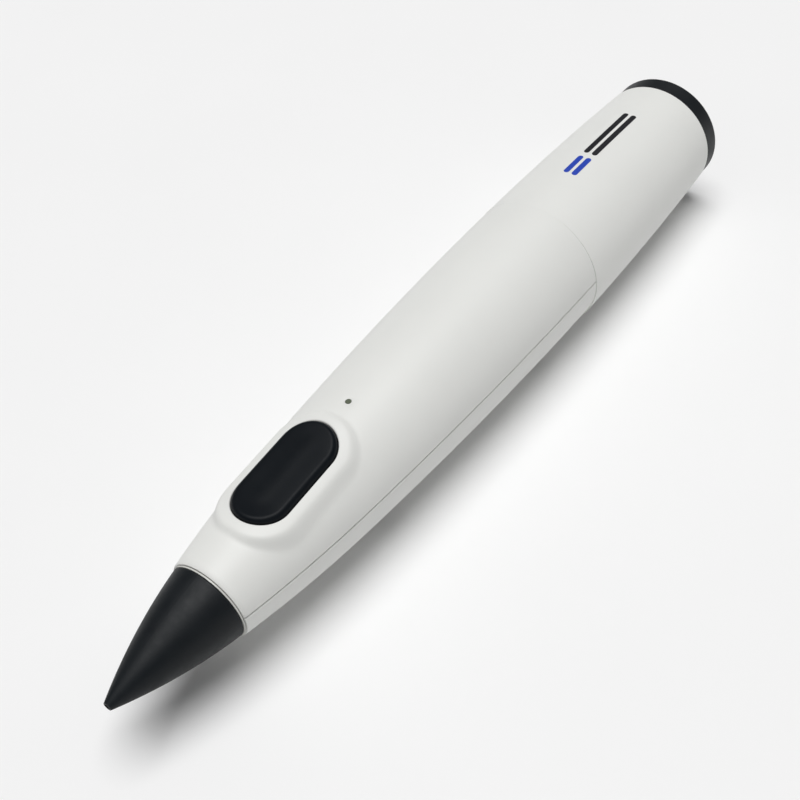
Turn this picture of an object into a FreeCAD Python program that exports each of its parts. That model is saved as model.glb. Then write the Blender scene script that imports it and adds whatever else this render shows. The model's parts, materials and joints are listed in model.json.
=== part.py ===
import FreeCAD, Part
import Sketcher
import math
import os

# Cordless low-temperature 3-D drawing pen.  Every piece is drawn in the pen's own lines: X runs
# along the axis from the nozzle tip (0) to the rear cap, Z points out of the feed button.  The
# placements then carry the pieces to the row's frame, whose origin is under the pen's middle.

V = FreeCAD.Vector

SIZES = {
    # cuts: how far a drill runs past a face, and how far a cut or a blank reaches to clear
    "past": 1.0, "overlap": 0.1, "cut_reach": 20.0, "opening_reach": 12.0, "blank_reach": 8.0,
    "axis_half": 5.0,
    # whole pen
    "pen_length": 180.0, "half_length": 90.0, "sit_height": 14.85,
    # black nozzle cover
    "cone_length": 23.5, "tip_radius": 0.8, "cone_radius": 7.82, "cone_bulge": 100.0,
    "cone_edge": 0.2, "tip_hole": 0.56, "tip_land": 1.4, "cavity_front": 3.0,
    "cavity_front_radius": 1.3, "cavity_rear": 20.0, "cavity_radius": 5.2, "neck_end": 27.0,
    "neck_radius": 6.15,
    # pale collar ring between the cover and the shells
    "ring_end": 23.75, "ring_radius": 7.9, "sleeve_radius": 7.3, "sleeve_bore": 6.2,
    "sleeve_end": 27.9,
    # the two shells
    "shell_start": 23.9, "shell_radius": 8.2, "front_bulge": 267.0, "waist_place": 51.8,
    "waist_radius": 11.76, "rear_bulge": 992.0, "step_place": 124.5, "step_radius": 14.48,
    "spigot_end": 129.5, "spigot_radius": 12.6, "spigot_bore": 11.4, "mouth_end": 28.0,
    "mouth_radius": 7.35, "waist_bore": 9.96, "hollow_end": 122.0, "hollow_radius": 12.6,
    "seam_height": 1.0, "seam_edge": 0.15, "split_front": 20.0, "split_rear": 135.0,
    # rear barrel and end cap, both on an axis a little lower than the shells'
    "barrel_drop": 0.2, "barrel_radius": 14.65, "barrel_end": 175.6, "barrel_end_radius": 13.2,
    "barrel_bulge": 867.0, "barrel_bore": 12.85, "barrel_bore_end": 130.0,
    "barrel_tail_bore": 11.45, "barrel_edge": 0.25, "cap_start": 175.7, "cap_radius": 13.02,
    "cap_edge": 0.8, "cap_spigot": 11.3, "cap_spigot_bore": 10.0, "cap_spigot_start": 171.0,
    "inlet_radius": 1.2, "inlet_mouth_depth": 1.2,
    "port_width": 9.2, "port_half": 1.7, "port_centre": -4.1,
    # feed button and its raised surround, in a frame that lies along the shell's slope
    "button_place": 45.8, "button_seat": 11.25, "button_tilt": 5.66, "button_length": 22.8,
    "button_gap": 0.15, "button_base": -2.5, "button_top": 1.0,
    "button_crown": 16.65, "button_wall": 1.3, "button_ceiling": -0.2, "stem_radius": 1.5,
    "stem_end": -1.55, "dish_half": 9.9, "dish_flat": 7.4, "dish_depth": 0.5, "dish_rim": 1.05,
    "dish_crown": 30.0, "dish_turn": 5.0, "dish_sky": 4.0, "tab_reach": 12.3, "tab_half": 2.2,
    "tab_base": -3.0, "bezel_front": -13.9, "bezel_rear": 13.6, "bezel_half": 7.95,
    "bezel_corner": 6.9, "bezel_top": 0.45, "bezel_crown": 15.65, "bezel_round": 0.8,
    "button_half": 5.5, "button_half_inside": 4.2, "opening_half": 5.65, "button_round": 0.45,
    "tab_root": 10.6,
    # indicator lamp
    "lamp_place": 63.6, "lamp_radius": 0.55, "lamp_hole": 0.6, "lamp_top": 12.52,
    "lamp_flange": 1.1, "lamp_foot": 8.2, "lamp_flange_top": 9.0,
    # shell screws
    "front_screw": 62.0, "front_screw_side": 6.6, "rear_screw": 111.5, "rear_screw_side": 6.4,
    "post_radius": 1.9, "front_post_top": 8.8, "rear_post_top": 10.8, "pilot_radius": 0.97,
    "pilot_top": 6.0, "boss_radius": 2.7, "front_boss_end": -8.1, "rear_boss_end": -10.7,
    "screw_hole": 1.1, "head_hole": 1.95, "front_seat": -6.6, "rear_seat": -9.2,
    "screw_radius": 0.95, "screw_head": 1.75, "screw_head_height": 1.3, "screw_end": 5.5,
    "screw_slot": 0.7, "slot_long": 1.1, "slot_short": 0.2,
    # hot end
    "nozzle_front": 0.5, "nozzle_tip": 0.52, "orifice": 0.3, "nozzle_tip_end": 1.9,
    "nozzle_body": 1.9, "nozzle_cone_end": 8.0, "nozzle_body_end": 10.0,
    "nozzle_shank": 1.4, "nozzle_end": 13.5, "melt_bore": 1.0,
    "core_radius": 2.2, "core_socket": 1.42, "core_socket_end": 13.6, "core_end": 25.0,
    "wrap_start": 12.6, "wrap_end": 22.0, "wrap_bore": 2.23, "wrap_radius": 2.7,
    "insulation_start": 13.5, "insulation_end": 22.5, "insulation_bore": 2.73,
    "insulation_radius": 3.3, "sensor_place": 23.05, "sensor_height": 2.72,
    "sensor_radius": 0.5, "break_end": 34.0, "break_radius": 1.6,
    "mount_start": 23.6, "mount_end": 29.0, "mount_radius": 5.15, "mount_socket": 2.23,
    "mount_bore": 1.63, "lead_side": 3.4, "lead_hole": 0.7,
    # filament path
    "guide_radius": 1.25, "guide_bore": 1.0, "feed_height": 4.6, "front_bend": 46.0,
    "rear_bend": 64.0, "front_guide_end": 70.9, "front_arc": 43.0, "rear_arc": 24.0,
    "rear_guide_start": 83.5, "rear_guide_end": 175.6,
    # drive frame
    "frame_start": 71.0, "frame_wall_end": 72.6, "frame_end": 92.0, "frame_half": 7.4,
    "frame_bore_half": 6.2, "frame_bottom": -7.0, "frame_top": 8.0, "frame_hole": 1.4,
    # gear train: stub teeth, two arbor lines one above the other
    "gear_module": 0.25, "pinion_teeth": 9.0, "wheel_teeth": 25.0, "motor_line": -4.55,
    "output_line": -0.3, "pressure_angle": 25.0, "tooth_slack": 0.03, "addendum": 0.8,
    "dedendum": 1.05, "arbor_radius": 0.5, "arbor_bore": 0.54, "arbor_seat": 0.52,
    "plate_half": 5.9, "plate_bottom": -9.4, "plate_top": 3.3, "plate_thickness": 0.8,
    "front_plate": 84.4, "rear_plate": 91.2, "post_side": 5.0, "post_height": -2.4,
    "plate_post": 0.7, "wheel_width": 1.0, "pinion_width": 1.5, "output_wheel": 85.5,
    "second_pinion": 85.4, "second_wheel": 86.9, "first_pinion": 86.9, "first_wheel": 88.4,
    "motor_pinion_start": 88.2, "motor_pinion_width": 1.6, "pinion_seat": 0.51,
    "second_arbor_end": 88.0, "first_arbor_start": 86.9, "shaft_start": 70.6,
    "shaft_end": 86.7, "shaft_radius": 1.0, "shaft_bore": 1.05, "shaft_seat": 1.01,
    "screw_start": 74.0, "screw_stop": 82.0, "screw_tip": 4.1, "screw_root": 3.75,
    "screw_pitch": 1.0, "screw_edge": 0.3,
    # motor
    "motor_start": 92.0, "motor_can_end": 106.4, "motor_end": 107.8, "motor_radius": 6.0,
    "motor_flat": 5.0, "motor_radius_inside": 5.5, "motor_flat_inside": 4.5,
    "motor_front_wall": 0.8, "motor_hole": 0.8,
    "magnet_start": 94.0, "magnet_end": 104.0, "magnet_radius": 4.4, "magnet_bore": 3.8,
    "rotor_start": 94.5, "rotor_end": 103.5, "rotor_radius": 3.5, "commutator_start": 103.8,
    "commutator_end": 106.0, "commutator_radius": 1.3, "motor_shaft_end": 107.0,
    "motor_shaft_start": 88.2, "motor_bearing": 0.56,
    # idler
    "idler_place": 78.0, "idler_height": 7.975, "idler_radius": 2.5, "idler_half": 1.2,
    "idler_bore": 1.04, "axle_radius": 1.0, "lever_start": 73.6, "lever_slot": 75.2,
    "lever_end": 88.4, "lever_half": 2.4, "lever_slot_half": 1.6, "lever_bottom": 5.95,
    "lever_top": 9.2, "axle_seat": 1.01, "pivot_place": 86.5, "pivot_height": 6.95,
    "pivot_radius": 0.8, "pivot_half": 7.3, "pivot_bore": 0.84, "pivot_seat": 0.82,
    "lever_spring_start": 2.7, "lever_spring_end": 5.7, "lever_spring_bore": 1.1,
    "lever_spring_radius": 1.7,
    # control board
    "board_start": 38.0, "board_end": 68.0, "board_half": 4.0, "board_bottom": 6.4,
    "board_top": 7.2, "switch_half": 2.3, "switch_top": 9.0, "plunger_radius": 1.2,
    "plunger_hole": 1.26, "well_depth": 0.6, "plunger_foot": 8.2, "plunger_top": 9.5, "lamp_chip_half": 0.8,
    "lamp_chip_top": 8.0, "chip_place": 56.5, "chip_half": 1.9, "chip_top": 8.0,
    # battery
    "cell_start": 116.0, "cell_end": 166.0, "cell_radius": 7.0, "cell_height": -4.1,
    "cell_edge": 0.6, "nub_start": 115.2, "nub_radius": 2.4, "tab_radius": 2.8,
    "tab_thickness": 0.2, "pad_bore": 7.05, "pad_radius": 7.4, "front_pad": 133.0,
    "rear_pad": 155.0, "pad_width": 6.0,
    # charging socket and its board
    "charge_start": 167.5, "charge_end": 175.5, "charge_half": 5.5, "charge_bottom": -6.6,
    "charge_top": -5.75, "socket_start": 172.2, "socket_end": 179.6, "socket_width": 9.0,
    "socket_half": 1.6, "socket_half_inside": 1.3, "socket_wall": 0.3, "tongue_half": 3.3,
    "tongue_thickness": 0.7,
    "tongue_start": 173.0, "tongue_end": 178.8,
    # leads
    "lead_radius": 0.5,
}

doc = FreeCAD.newDocument("three_d_pen")
sheet = doc.addObject("Spreadsheet::Sheet", "Sizes")
for row, (alias, number) in enumerate(SIZES.items(), 1):
    sheet.set("A%d" % row, str(number))
    sheet.setAlias("A%d" % row, alias)
doc.recompute()

pieces = []

# How near a sampled point must be to a plane, or to a rim's radius, to count as on it.
TOUCH = 1e-4
NEAR = 1e-3
ON_RIM = 0.01
EDGE_BAND = 0.3
SAME_VOLUME = 1e-6


def amount(text):
    """The number of a sum such as "seam_height + 2*wall", read from the sheet."""
    total, sign = 0.0, 1.0
    for term in str(text).split():
        if term in ("+", "-"):
            sign = 1.0 if term == "+" else -1.0
            continue
        product = sign
        for factor in term.split("*"):
            product *= float(sheet.get(factor)) if factor in SIZES else float(factor)
        total += product
    return total


def formula(text):
    """The same sum as an expression on the sheet's cells."""
    terms = []
    for term in str(text).split():
        factors = ["Sizes." + f if f in SIZES else f for f in term.split("*")]
        terms.append("*".join(factors))
    return " ".join(terms)


def bind(item, **properties):
    """Bind an object's properties to sums of sheet cells."""
    for name, text in properties.items():
        item.setExpression(name, formula(text))


def place(item, x="0", y="0", z="0", turn=None):
    """Put an object at a place in the pen's own lines."""
    if turn:
        item.Placement = FreeCAD.Placement(V(0, 0, 0), turn)
    for axis, text in (("x", x), ("y", y), ("z", z)):
        item.setExpression("Placement.Base." + axis, formula(text))


def deliver(item, label, x="0", y="0", z="0", turn=None):
    """Name a finished piece and carry it from the pen's lines to the row's frame."""
    item.Label = label
    place(item, x + " - half_length", y, z + " + sit_height", turn)
    pieces.append(item)
    return item


# ---------------------------------------------------------------- sketches and features

ALONG_X = FreeCAD.Rotation(V(0, 1, 0), 90)
ALONG_Y = FreeCAD.Rotation(V(1, 0, 0), -90)
SLOPE = FreeCAD.Rotation(V(0, 1, 0), -SIZES["button_tilt"])


def new_sketch(body, name, role, lift="0", shift="0", turn=None):
    """A sketch on one of the body's own planes, lifted along that plane's normal."""
    sketch = body.newObject("Sketcher::SketchObject", name)
    plane = [f for f in body.Origin.OriginFeatures if f.Role == role][0]
    sketch.AttachmentSupport = [(plane, "")]
    sketch.MapMode = "FlatFace"
    if turn:
        sketch.AttachmentOffset = FreeCAD.Placement(V(0, 0, 0), turn)
    if lift != "0":
        sketch.setExpression("AttachmentOffset.Base.z", formula(lift))
    if shift != "0":
        sketch.setExpression("AttachmentOffset.Base.x", formula(shift))
    return sketch


def pin_point(sketch, geometry, position, x, y):
    """Hold one point of a sketch at a place given by two sums."""
    for kind, text, axis in (("DistanceX", x, -2), ("DistanceY", y, -1)):
        if amount(text) == 0:
            sketch.addConstraint(Sketcher.Constraint("PointOnObject", geometry, position, axis))
            continue
        index = sketch.addConstraint(
            Sketcher.Constraint(kind, -1, 1, geometry, position, amount(text)))
        sketch.setExpression("Constraints[%d]" % index, formula(text))


def draw(sketch, corners):
    """Draw a closed outline.  A corner is (x, y), or (x, y, radius) where an arc that bulges to
    the left of the direction of travel leads to the next corner, or -1 times it to the right."""
    spots = [V(amount(c[0]), amount(c[1]), 0) for c in corners]
    geometries = []
    for number, corner in enumerate(corners):
        start, end = spots[number], spots[(number + 1) % len(spots)]
        if len(corner) == 2:
            geometries.append(sketch.addGeometry(Part.LineSegment(start, end), False))
            continue
        radius = amount(corner[2])
        chord = end - start
        side = V(-chord.y, chord.x, 0).normalize() * math.copysign(1, radius)
        reach = abs(radius) - math.sqrt(max(0.0, radius ** 2 - chord.Length ** 2 / 4))
        arc = Part.Arc(start, start + chord / 2 + side * reach, end)
        geometries.append(sketch.addGeometry(arc, False))
    for number, corner in enumerate(corners):
        here, before = geometries[number], geometries[number - 1]
        ends = {}
        for geometry in (here, before):
            gaps = [(sketch.getPoint(geometry, p) - spots[number]).Length for p in (1, 2)]
            ends[geometry] = 1 if gaps[0] < gaps[1] else 2
        sketch.addConstraint(Sketcher.Constraint(
            "Coincident", before, ends[before], here, ends[here]))
        pin_point(sketch, here, ends[here], corner[0], corner[1])
        if len(corner) == 3 and (spots[number] - spots[(number + 1) % len(spots)]).Length > (
                1.999 * abs(amount(corner[2]))):
            index = sketch.addConstraint(
                Sketcher.Constraint("DistanceX", -1, 1, here, 3, amount(corner[0])))
            sketch.setExpression("Constraints[%d]" % index, formula(corner[0]))
        elif len(corner) == 3:
            index = sketch.addConstraint(
                Sketcher.Constraint("Radius", here, abs(amount(corner[2]))))
            sign = "-1*" if amount(corner[2]) < 0 else "1*"
            sketch.setExpression("Constraints[%d]" % index, sign + "(" + formula(corner[2]) + ")")
    return sketch


def circle(sketch, x, y, radius):
    """Add a circle to a sketch."""
    centre = V(amount(x), amount(y), 0)
    index = sketch.addGeometry(Part.Circle(centre, V(0, 0, 1), amount(radius)), False)
    pin_point(sketch, index, 3, x, y)
    constraint = sketch.addConstraint(Sketcher.Constraint("Radius", index, amount(radius)))
    sketch.setExpression("Constraints[%d]" % constraint, formula(radius))
    return sketch


def rounded(front, rear, half, corner):
    """The corners of a rounded rectangle from front to rear in x and -half to half in y."""
    if half == corner:
        return [(front + " + " + half, "-1*" + half), (rear + " - " + half, "-1*" + half,
                                                       "-1*" + half),
                (rear + " - " + half, half), (front + " + " + half, half, "-1*" + half)]
    return [
        (front + " + " + corner, "-1*" + half), (rear + " - " + corner, "-1*" + half,
                                                   "-1*" + corner),
        (rear, corner + " - " + half), (rear, half + " - " + corner, "-1*" + corner),
        (rear + " - " + corner, half), (front + " + " + corner, half, "-1*" + corner),
        (front, half + " - " + corner), (front, corner + " - " + half, "-1*" + corner),
    ]


def new_body(label):
    """An empty PartDesign body."""
    return doc.addObject("PartDesign::Body", label)


def revolve(body, sketch, kind="Revolution", axis="H_Axis"):
    """Turn an outline all the way round an axis of its sketch, adding or cutting."""
    feature = body.newObject("PartDesign::" + kind, sketch.Name + "_turned")
    feature.Profile = (sketch, [""])
    feature.ReferenceAxis = (sketch, [axis])
    feature.Angle = 360.0
    return check_feature(body, feature)


def extrude(body, sketch, length, kind="Pad", reverse=False, both_ways=False):
    """Push an outline along its normal, adding (Pad) or cutting (Pocket, away from it)."""
    feature = body.newObject("PartDesign::" + kind, sketch.Name + "_pushed")
    feature.Profile = (sketch, [""])
    feature.Length = 1.0
    feature.setExpression("Length", formula(length))
    feature.Reversed = reverse
    if both_ways:
        feature.SideType = "Symmetric"
    return check_feature(body, feature)


def check_feature(body, feature):
    """Recompute, and stop where a feature failed or changed nothing."""
    doc.recompute()
    if "Invalid" in feature.State or "Error" in feature.State or feature.Shape.isNull():
        raise RuntimeError("%s: %s" % (feature.Name, feature.State))
    previous = feature.BaseFeature
    if previous is not None and abs(previous.Shape.Volume - feature.Shape.Volume) < SAME_VOLUME:
        raise RuntimeError(feature.Name + " changed nothing")
    return feature


def soften(body, kind, edges, size):
    """Fillet or chamfer the edges of the body's last feature."""
    if not edges:
        raise RuntimeError("no edge to soften in " + body.Name)
    feature = body.newObject("PartDesign::" + kind, body.Name + "_" + kind.lower())
    feature.Base = (body.Tip if body.Tip != feature else feature.BaseFeature, edges)
    feature.setExpression("Radius" if kind == "Fillet" else "Size", formula(size))
    return check_feature(body, feature)


def edges_where(feature, test):
    """The names of the edges whose every sampled point passes the test."""
    names = []
    for number, edge in enumerate(feature.Shape.Edges, 1):
        first, last = edge.ParameterRange
        samples = [edge.valueAt(first + (last - first) * k / 6) for k in range(7)]
        if all(test(p) for p in samples):
            names.append("Edge%d" % number)
    return names


def spin(label, corners, z="0"):
    """A body of revolution about a line along X, from its outline as (x, radius) corners."""
    body = new_body(label)
    revolve(body, draw(new_sketch(body, label + "_outline", "XZ_Plane"), corners))
    return deliver(body, label, z=z)


def ring(label, start, end, radius, bore, z="0"):
    """A plain round tube along X."""
    return spin(label, [(start, bore), (start, radius), (end, radius), (end, bore)], z)


# ---------------------------------------------------------------- primitives and booleans

def primitive(kind, name, x="0", y="0", z="0", turn=None, **sizes):
    """A Part primitive with its sizes and place bound to the sheet."""
    item = doc.addObject("Part::" + kind, name)
    bind(item, **sizes)
    place(item, x, y, z, turn)
    return item


def block(name, x0, x1, y0, y1, z0, z1):
    """A box between two corners."""
    return primitive("Box", name, x0, y0, z0, Length=x1 + " - " + flip(x0),
                     Width=y1 + " - " + flip(y0), Height=z1 + " - " + flip(z0))


def flip(text):
    """A sum with the signs after its first term turned round, to follow a minus sign."""
    return text.replace(" + ", " # ").replace(" - ", " + ").replace(" # ", " - ")


def rod(name, x0, x1, radius, y="0", z="0"):
    """A cylinder along X."""
    return primitive("Cylinder", name, x0, y, z, ALONG_X, Radius=radius,
                     Height=x1 + " - " + flip(x0))


def peg(name, x, y, z0, z1, radius):
    """A cylinder along Z."""
    return primitive("Cylinder", name, x, y, z0, Radius=radius, Height=z1 + " - " + flip(z0))


def pin(name, x, z, half, radius, beyond="0"):
    """A cylinder along Y, centred on the pen's middle plane; a drill runs beyond each end."""
    return primitive("Cylinder", name, x, "-1*%s - %s" % (half, beyond), z, ALONG_Y,
                     Radius=radius, Height="2*%s + 2*%s" % (half, beyond))


def cut(name, base, *tools):
    """Take tools away from a base shape."""
    for number, tool in enumerate(tools):
        step = doc.addObject("Part::Cut", "%s_cut%d" % (name, number))
        step.Base, step.Tool = base, tool
        base = step
    return base


def fuse(name, *shapes):
    """Join shapes into one."""
    item = doc.addObject("Part::MultiFuse", name + "_fused")
    item.Shapes = list(shapes)
    item.Refine = True
    return item


def common(name, *shapes):
    """Keep what the shapes share."""
    item = doc.addObject("Part::MultiCommon", name + "_common")
    item.Shapes = list(shapes)
    return item


# ---------------------------------------------------------------- the outer shells

def shell(label, upper):
    """Half of the clamshell body: an outer solid, hollowed, then cut at the seam plane."""
    body = new_body(label)
    side = "upper" if upper else "lower"
    outer = new_sketch(body, side + "_outer", "XZ_Plane")
    revolve(body, draw(outer, [
        ("shell_start", "0"), ("shell_start", "shell_radius", "front_bulge"),
        ("waist_place", "waist_radius", "rear_bulge"), ("step_place", "step_radius"),
        ("step_place", "spigot_radius"), ("spigot_end", "spigot_radius"), ("spigot_end", "0")]))
    if upper:
        add_surround(body)
    inner = new_sketch(body, side + "_hollow", "XZ_Plane")
    revolve(body, draw(inner, [
        ("shell_start - past", "0"), ("shell_start - past", "mouth_radius"),
        ("mouth_end", "mouth_radius"), ("waist_place", "waist_bore", "rear_bulge"),
        ("hollow_end", "hollow_radius"), ("step_place", "spigot_bore"),
        ("spigot_end + past", "spigot_bore"), ("spigot_end + past", "0")]), "Groove")
    if upper:
        opening = new_sketch(body, "button_opening", "XY_Plane", turn=SLOPE)
        seat_sketch(opening)
        draw(opening, rounded("-0.5*button_length - button_gap", "0.5*button_length + button_gap",
                              "opening_half", "opening_half"))
        extrude(body, opening, "opening_reach", "Pocket", both_ways=True)
        lamp = circle(new_sketch(body, "lamp_opening", "XY_Plane", "seam_height"),
                      "lamp_place", "0", "lamp_hole")
        extrude(body, lamp, "cut_reach", "Pocket", reverse=True)
    split = new_sketch(body, side + "_split", "XY_Plane", "seam_height")
    draw(split, [("split_front", "-1*cut_reach"), ("split_rear", "-1*cut_reach"),
                 ("split_rear", "cut_reach"), ("split_front", "cut_reach")])
    half = extrude(body, split, "cut_reach", "Pocket", reverse=not upper)
    rim = edges_where(half, lambda p: abs(p.z - amount("seam_height")) < TOUCH
                      and abs(p.y) > outer_radius(p.x) - EDGE_BAND and p.x < amount("step_place"))
    soften(body, "Chamfer", rim, "seam_edge")
    screw_posts(body, upper)
    return deliver(body, label)


def outer_radius(x):
    """The shells' outer radius at a place along the pen, for picking edges."""
    knots = [("shell_start", "shell_radius"), ("waist_place", "waist_radius"),
             ("step_place", "step_radius")]
    for (x0, r0), (x1, r1), bulge in zip(knots, knots[1:], ("front_bulge", "rear_bulge")):
        a, b = V(amount(x0), amount(r0), 0), V(amount(x1), amount(r1), 0)
        if x <= b.x:
            t = max(0.0, (x - a.x) / (b.x - a.x))
            return a.y + (b.y - a.y) * t + (b - a).Length ** 2 * t * (1 - t) / 2 / amount(bulge)
    return b.y


def seat_sketch(sketch):
    """Carry a sketch to the button's seat, on the slope of the shell's top line."""
    sketch.setExpression("AttachmentOffset.Base.x", "Sizes.button_place")
    sketch.setExpression("AttachmentOffset.Base.z", "Sizes.button_seat")


def add_surround(body):
    """The raised surround round the button: flatter across than the shell, soft edged."""
    foot = new_sketch(body, "surround_outline", "XY_Plane", turn=SLOPE)
    seat_sketch(foot)
    draw(foot, rounded("bezel_front", "bezel_rear", "bezel_half", "bezel_corner"))
    extrude(body, foot, "blank_reach", both_ways=True)
    crown = new_sketch(body, "surround_crown", "XZ_Plane", turn=FreeCAD.Rotation(
        V(0, 0, 1), SIZES["button_tilt"]))
    crown.setExpression("AttachmentOffset.Base.x", "Sizes.button_place")
    crown.setExpression("AttachmentOffset.Base.y", "Sizes.button_seat")
    draw(crown, [("-1*cut_reach", "bezel_top"), ("cut_reach", "bezel_top"),
                 ("cut_reach", "opening_reach"), ("-1*cut_reach", "opening_reach")])
    add_axis(crown, "bezel_top - bezel_crown")
    shaped = revolve(body, crown, "Groove", "Axis0")
    rim = edges_where(shaped, on_surround_edge)
    soften(body, "Fillet", rim, "bezel_round")


def on_surround_edge(point):
    """True on the edge between the surround's crown and its side wall."""
    rise = FreeCAD.Rotation(V(0, 1, 0), -SIZES["button_tilt"])
    local = rise.inverted().multVec(point - V(amount("button_place"), 0, amount("button_seat")))
    crown = amount("bezel_top - bezel_crown")
    return abs(math.hypot(local.y, local.z - crown) - amount("bezel_crown")) < NEAR


def add_axis(sketch, height):
    """A construction line along X at the given height, to turn an outline about."""
    level, reach = amount(height), amount("axis_half")
    line = sketch.addGeometry(Part.LineSegment(V(-reach, level, 0), V(reach, level, 0)), True)
    pin_point(sketch, line, 1, "-1*axis_half", height)
    pin_point(sketch, line, 2, "axis_half", height)


def screw_posts(body, upper):
    """The posts that the shell screws pass through (lower) and bite into (upper)."""
    for end in ("front", "rear"):
        spots = [(end + "_screw", s + end + "_screw_side") for s in ("", "-1*")]
        name = end + ("_posts" if upper else "_bosses")
        post = new_sketch(body, name, "XY_Plane", "seam_height")
        for x, y in spots:
            circle(post, x, y, "post_radius" if upper else "boss_radius")
        reach = end + "_post_top - seam_height" if upper else "seam_height - " + end + "_boss_end"
        extrude(body, post, reach, reverse=not upper)
        hole = new_sketch(body, name + "_hole", "XY_Plane", "seam_height")
        for x, y in spots:
            circle(hole, x, y, "pilot_radius" if upper else "screw_hole")
        depth = "pilot_top - seam_height" if upper else "cut_reach"
        extrude(body, hole, depth, "Pocket", reverse=upper)
        if not upper:
            seat = new_sketch(body, name + "_seat", "XY_Plane", end + "_seat")
            for x, y in spots:
                circle(seat, x, y, "head_hole")
            extrude(body, seat, "opening_reach", "Pocket")


shell("upper_shell", True)
shell("lower_shell", False)


def rear_barrel():
    """The rear barrel: a tapering tube that slides over the shells' spigot."""
    body = new_body("rear_barrel")
    solid = revolve(body, draw(new_sketch(body, "barrel_outline", "XZ_Plane"), [
        ("step_place", "barrel_bore"), ("step_place", "barrel_radius", "barrel_bulge"),
        ("barrel_end", "barrel_end_radius"), ("barrel_end", "barrel_tail_bore"),
        ("barrel_bore_end", "barrel_bore")]))
    rims = edges_where(solid, lambda p: (
        abs(p.x - amount("barrel_end")) < TOUCH
        and math.hypot(p.y, p.z) > amount("barrel_end_radius") - ON_RIM))
    soften(body, "Chamfer", rims, "barrel_edge")
    return deliver(body, "rear_barrel", z="-1*barrel_drop")


rear_barrel()


def end_cap():
    """The black rear cap: a plug with the filament inlet and the charging port's opening."""
    body = new_body("end_cap")
    solid = revolve(body, draw(new_sketch(body, "cap_outline", "XZ_Plane"), [
        ("cap_start", "0"), ("cap_start", "cap_spigot_bore"),
        ("cap_spigot_start", "cap_spigot_bore"), ("cap_spigot_start", "cap_spigot"),
        ("cap_start", "cap_spigot"), ("cap_start", "cap_radius"), ("pen_length", "cap_radius"),
        ("pen_length", "0")]))
    rim = edges_where(solid, lambda p: p.x > amount("pen_length") - TOUCH
                      and math.hypot(p.y, p.z) > amount("cap_radius") - ON_RIM)
    soften(body, "Fillet", rim, "cap_edge")
    inlet = new_sketch(body, "inlet", "YZ_Plane", "cap_start - past")
    circle(inlet, "0", "feed_height + barrel_drop", "inlet_radius")
    extrude(body, inlet, "cut_reach", "Pocket", reverse=True)
    mouth = edges_where(body.Tip, lambda p: p.x > amount("pen_length") - TOUCH
                        and math.hypot(p.y, p.z - amount("feed_height + barrel_drop"))
                        < amount("inlet_radius") + ON_RIM)
    soften(body, "Chamfer", mouth, "inlet_mouth_depth")
    port = new_sketch(body, "port", "YZ_Plane", "cap_start - past")
    port.setExpression("AttachmentOffset.Base.y", formula("port_centre + barrel_drop"))
    draw(port, rounded("-0.5*port_width", "0.5*port_width", "port_half", "port_half"))
    extrude(body, port, "cut_reach", "Pocket", reverse=True)
    return deliver(body, "end_cap", z="-1*barrel_drop")


end_cap()

# ---------------------------------------------------------------- nozzle cover and collar

def nozzle_cover():
    """The black nose cone, hollow round the hot end, with a neck that plugs into the collar."""
    body = new_body("nozzle_cover")
    solid = revolve(body, draw(new_sketch(body, "cover_outline", "XZ_Plane"), [
        ("0", "tip_hole"), ("0", "tip_radius", "cone_bulge"), ("cone_length", "cone_radius"),
        ("cone_length", "neck_radius"), ("neck_end", "neck_radius"),
        ("neck_end", "cavity_radius"), ("cavity_rear", "cavity_radius"),
        ("cavity_front", "cavity_front_radius"), ("tip_land", "tip_hole")]))
    rim = edges_where(solid, lambda p: abs(p.x - amount("cone_length")) < TOUCH
                      and math.hypot(p.y, p.z) > amount("cone_radius") - ON_RIM)
    soften(body, "Fillet", rim, "cone_edge")
    return deliver(body, "nozzle_cover")


nozzle_cover()
spin("collar_ring", [
    ("cone_length", "sleeve_bore"), ("cone_length", "ring_radius"), ("ring_end", "ring_radius"),
    ("ring_end", "sleeve_radius"), ("sleeve_end", "sleeve_radius"),
    ("sleeve_end", "sleeve_bore")])

# ---------------------------------------------------------------- feed button and indicator

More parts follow.
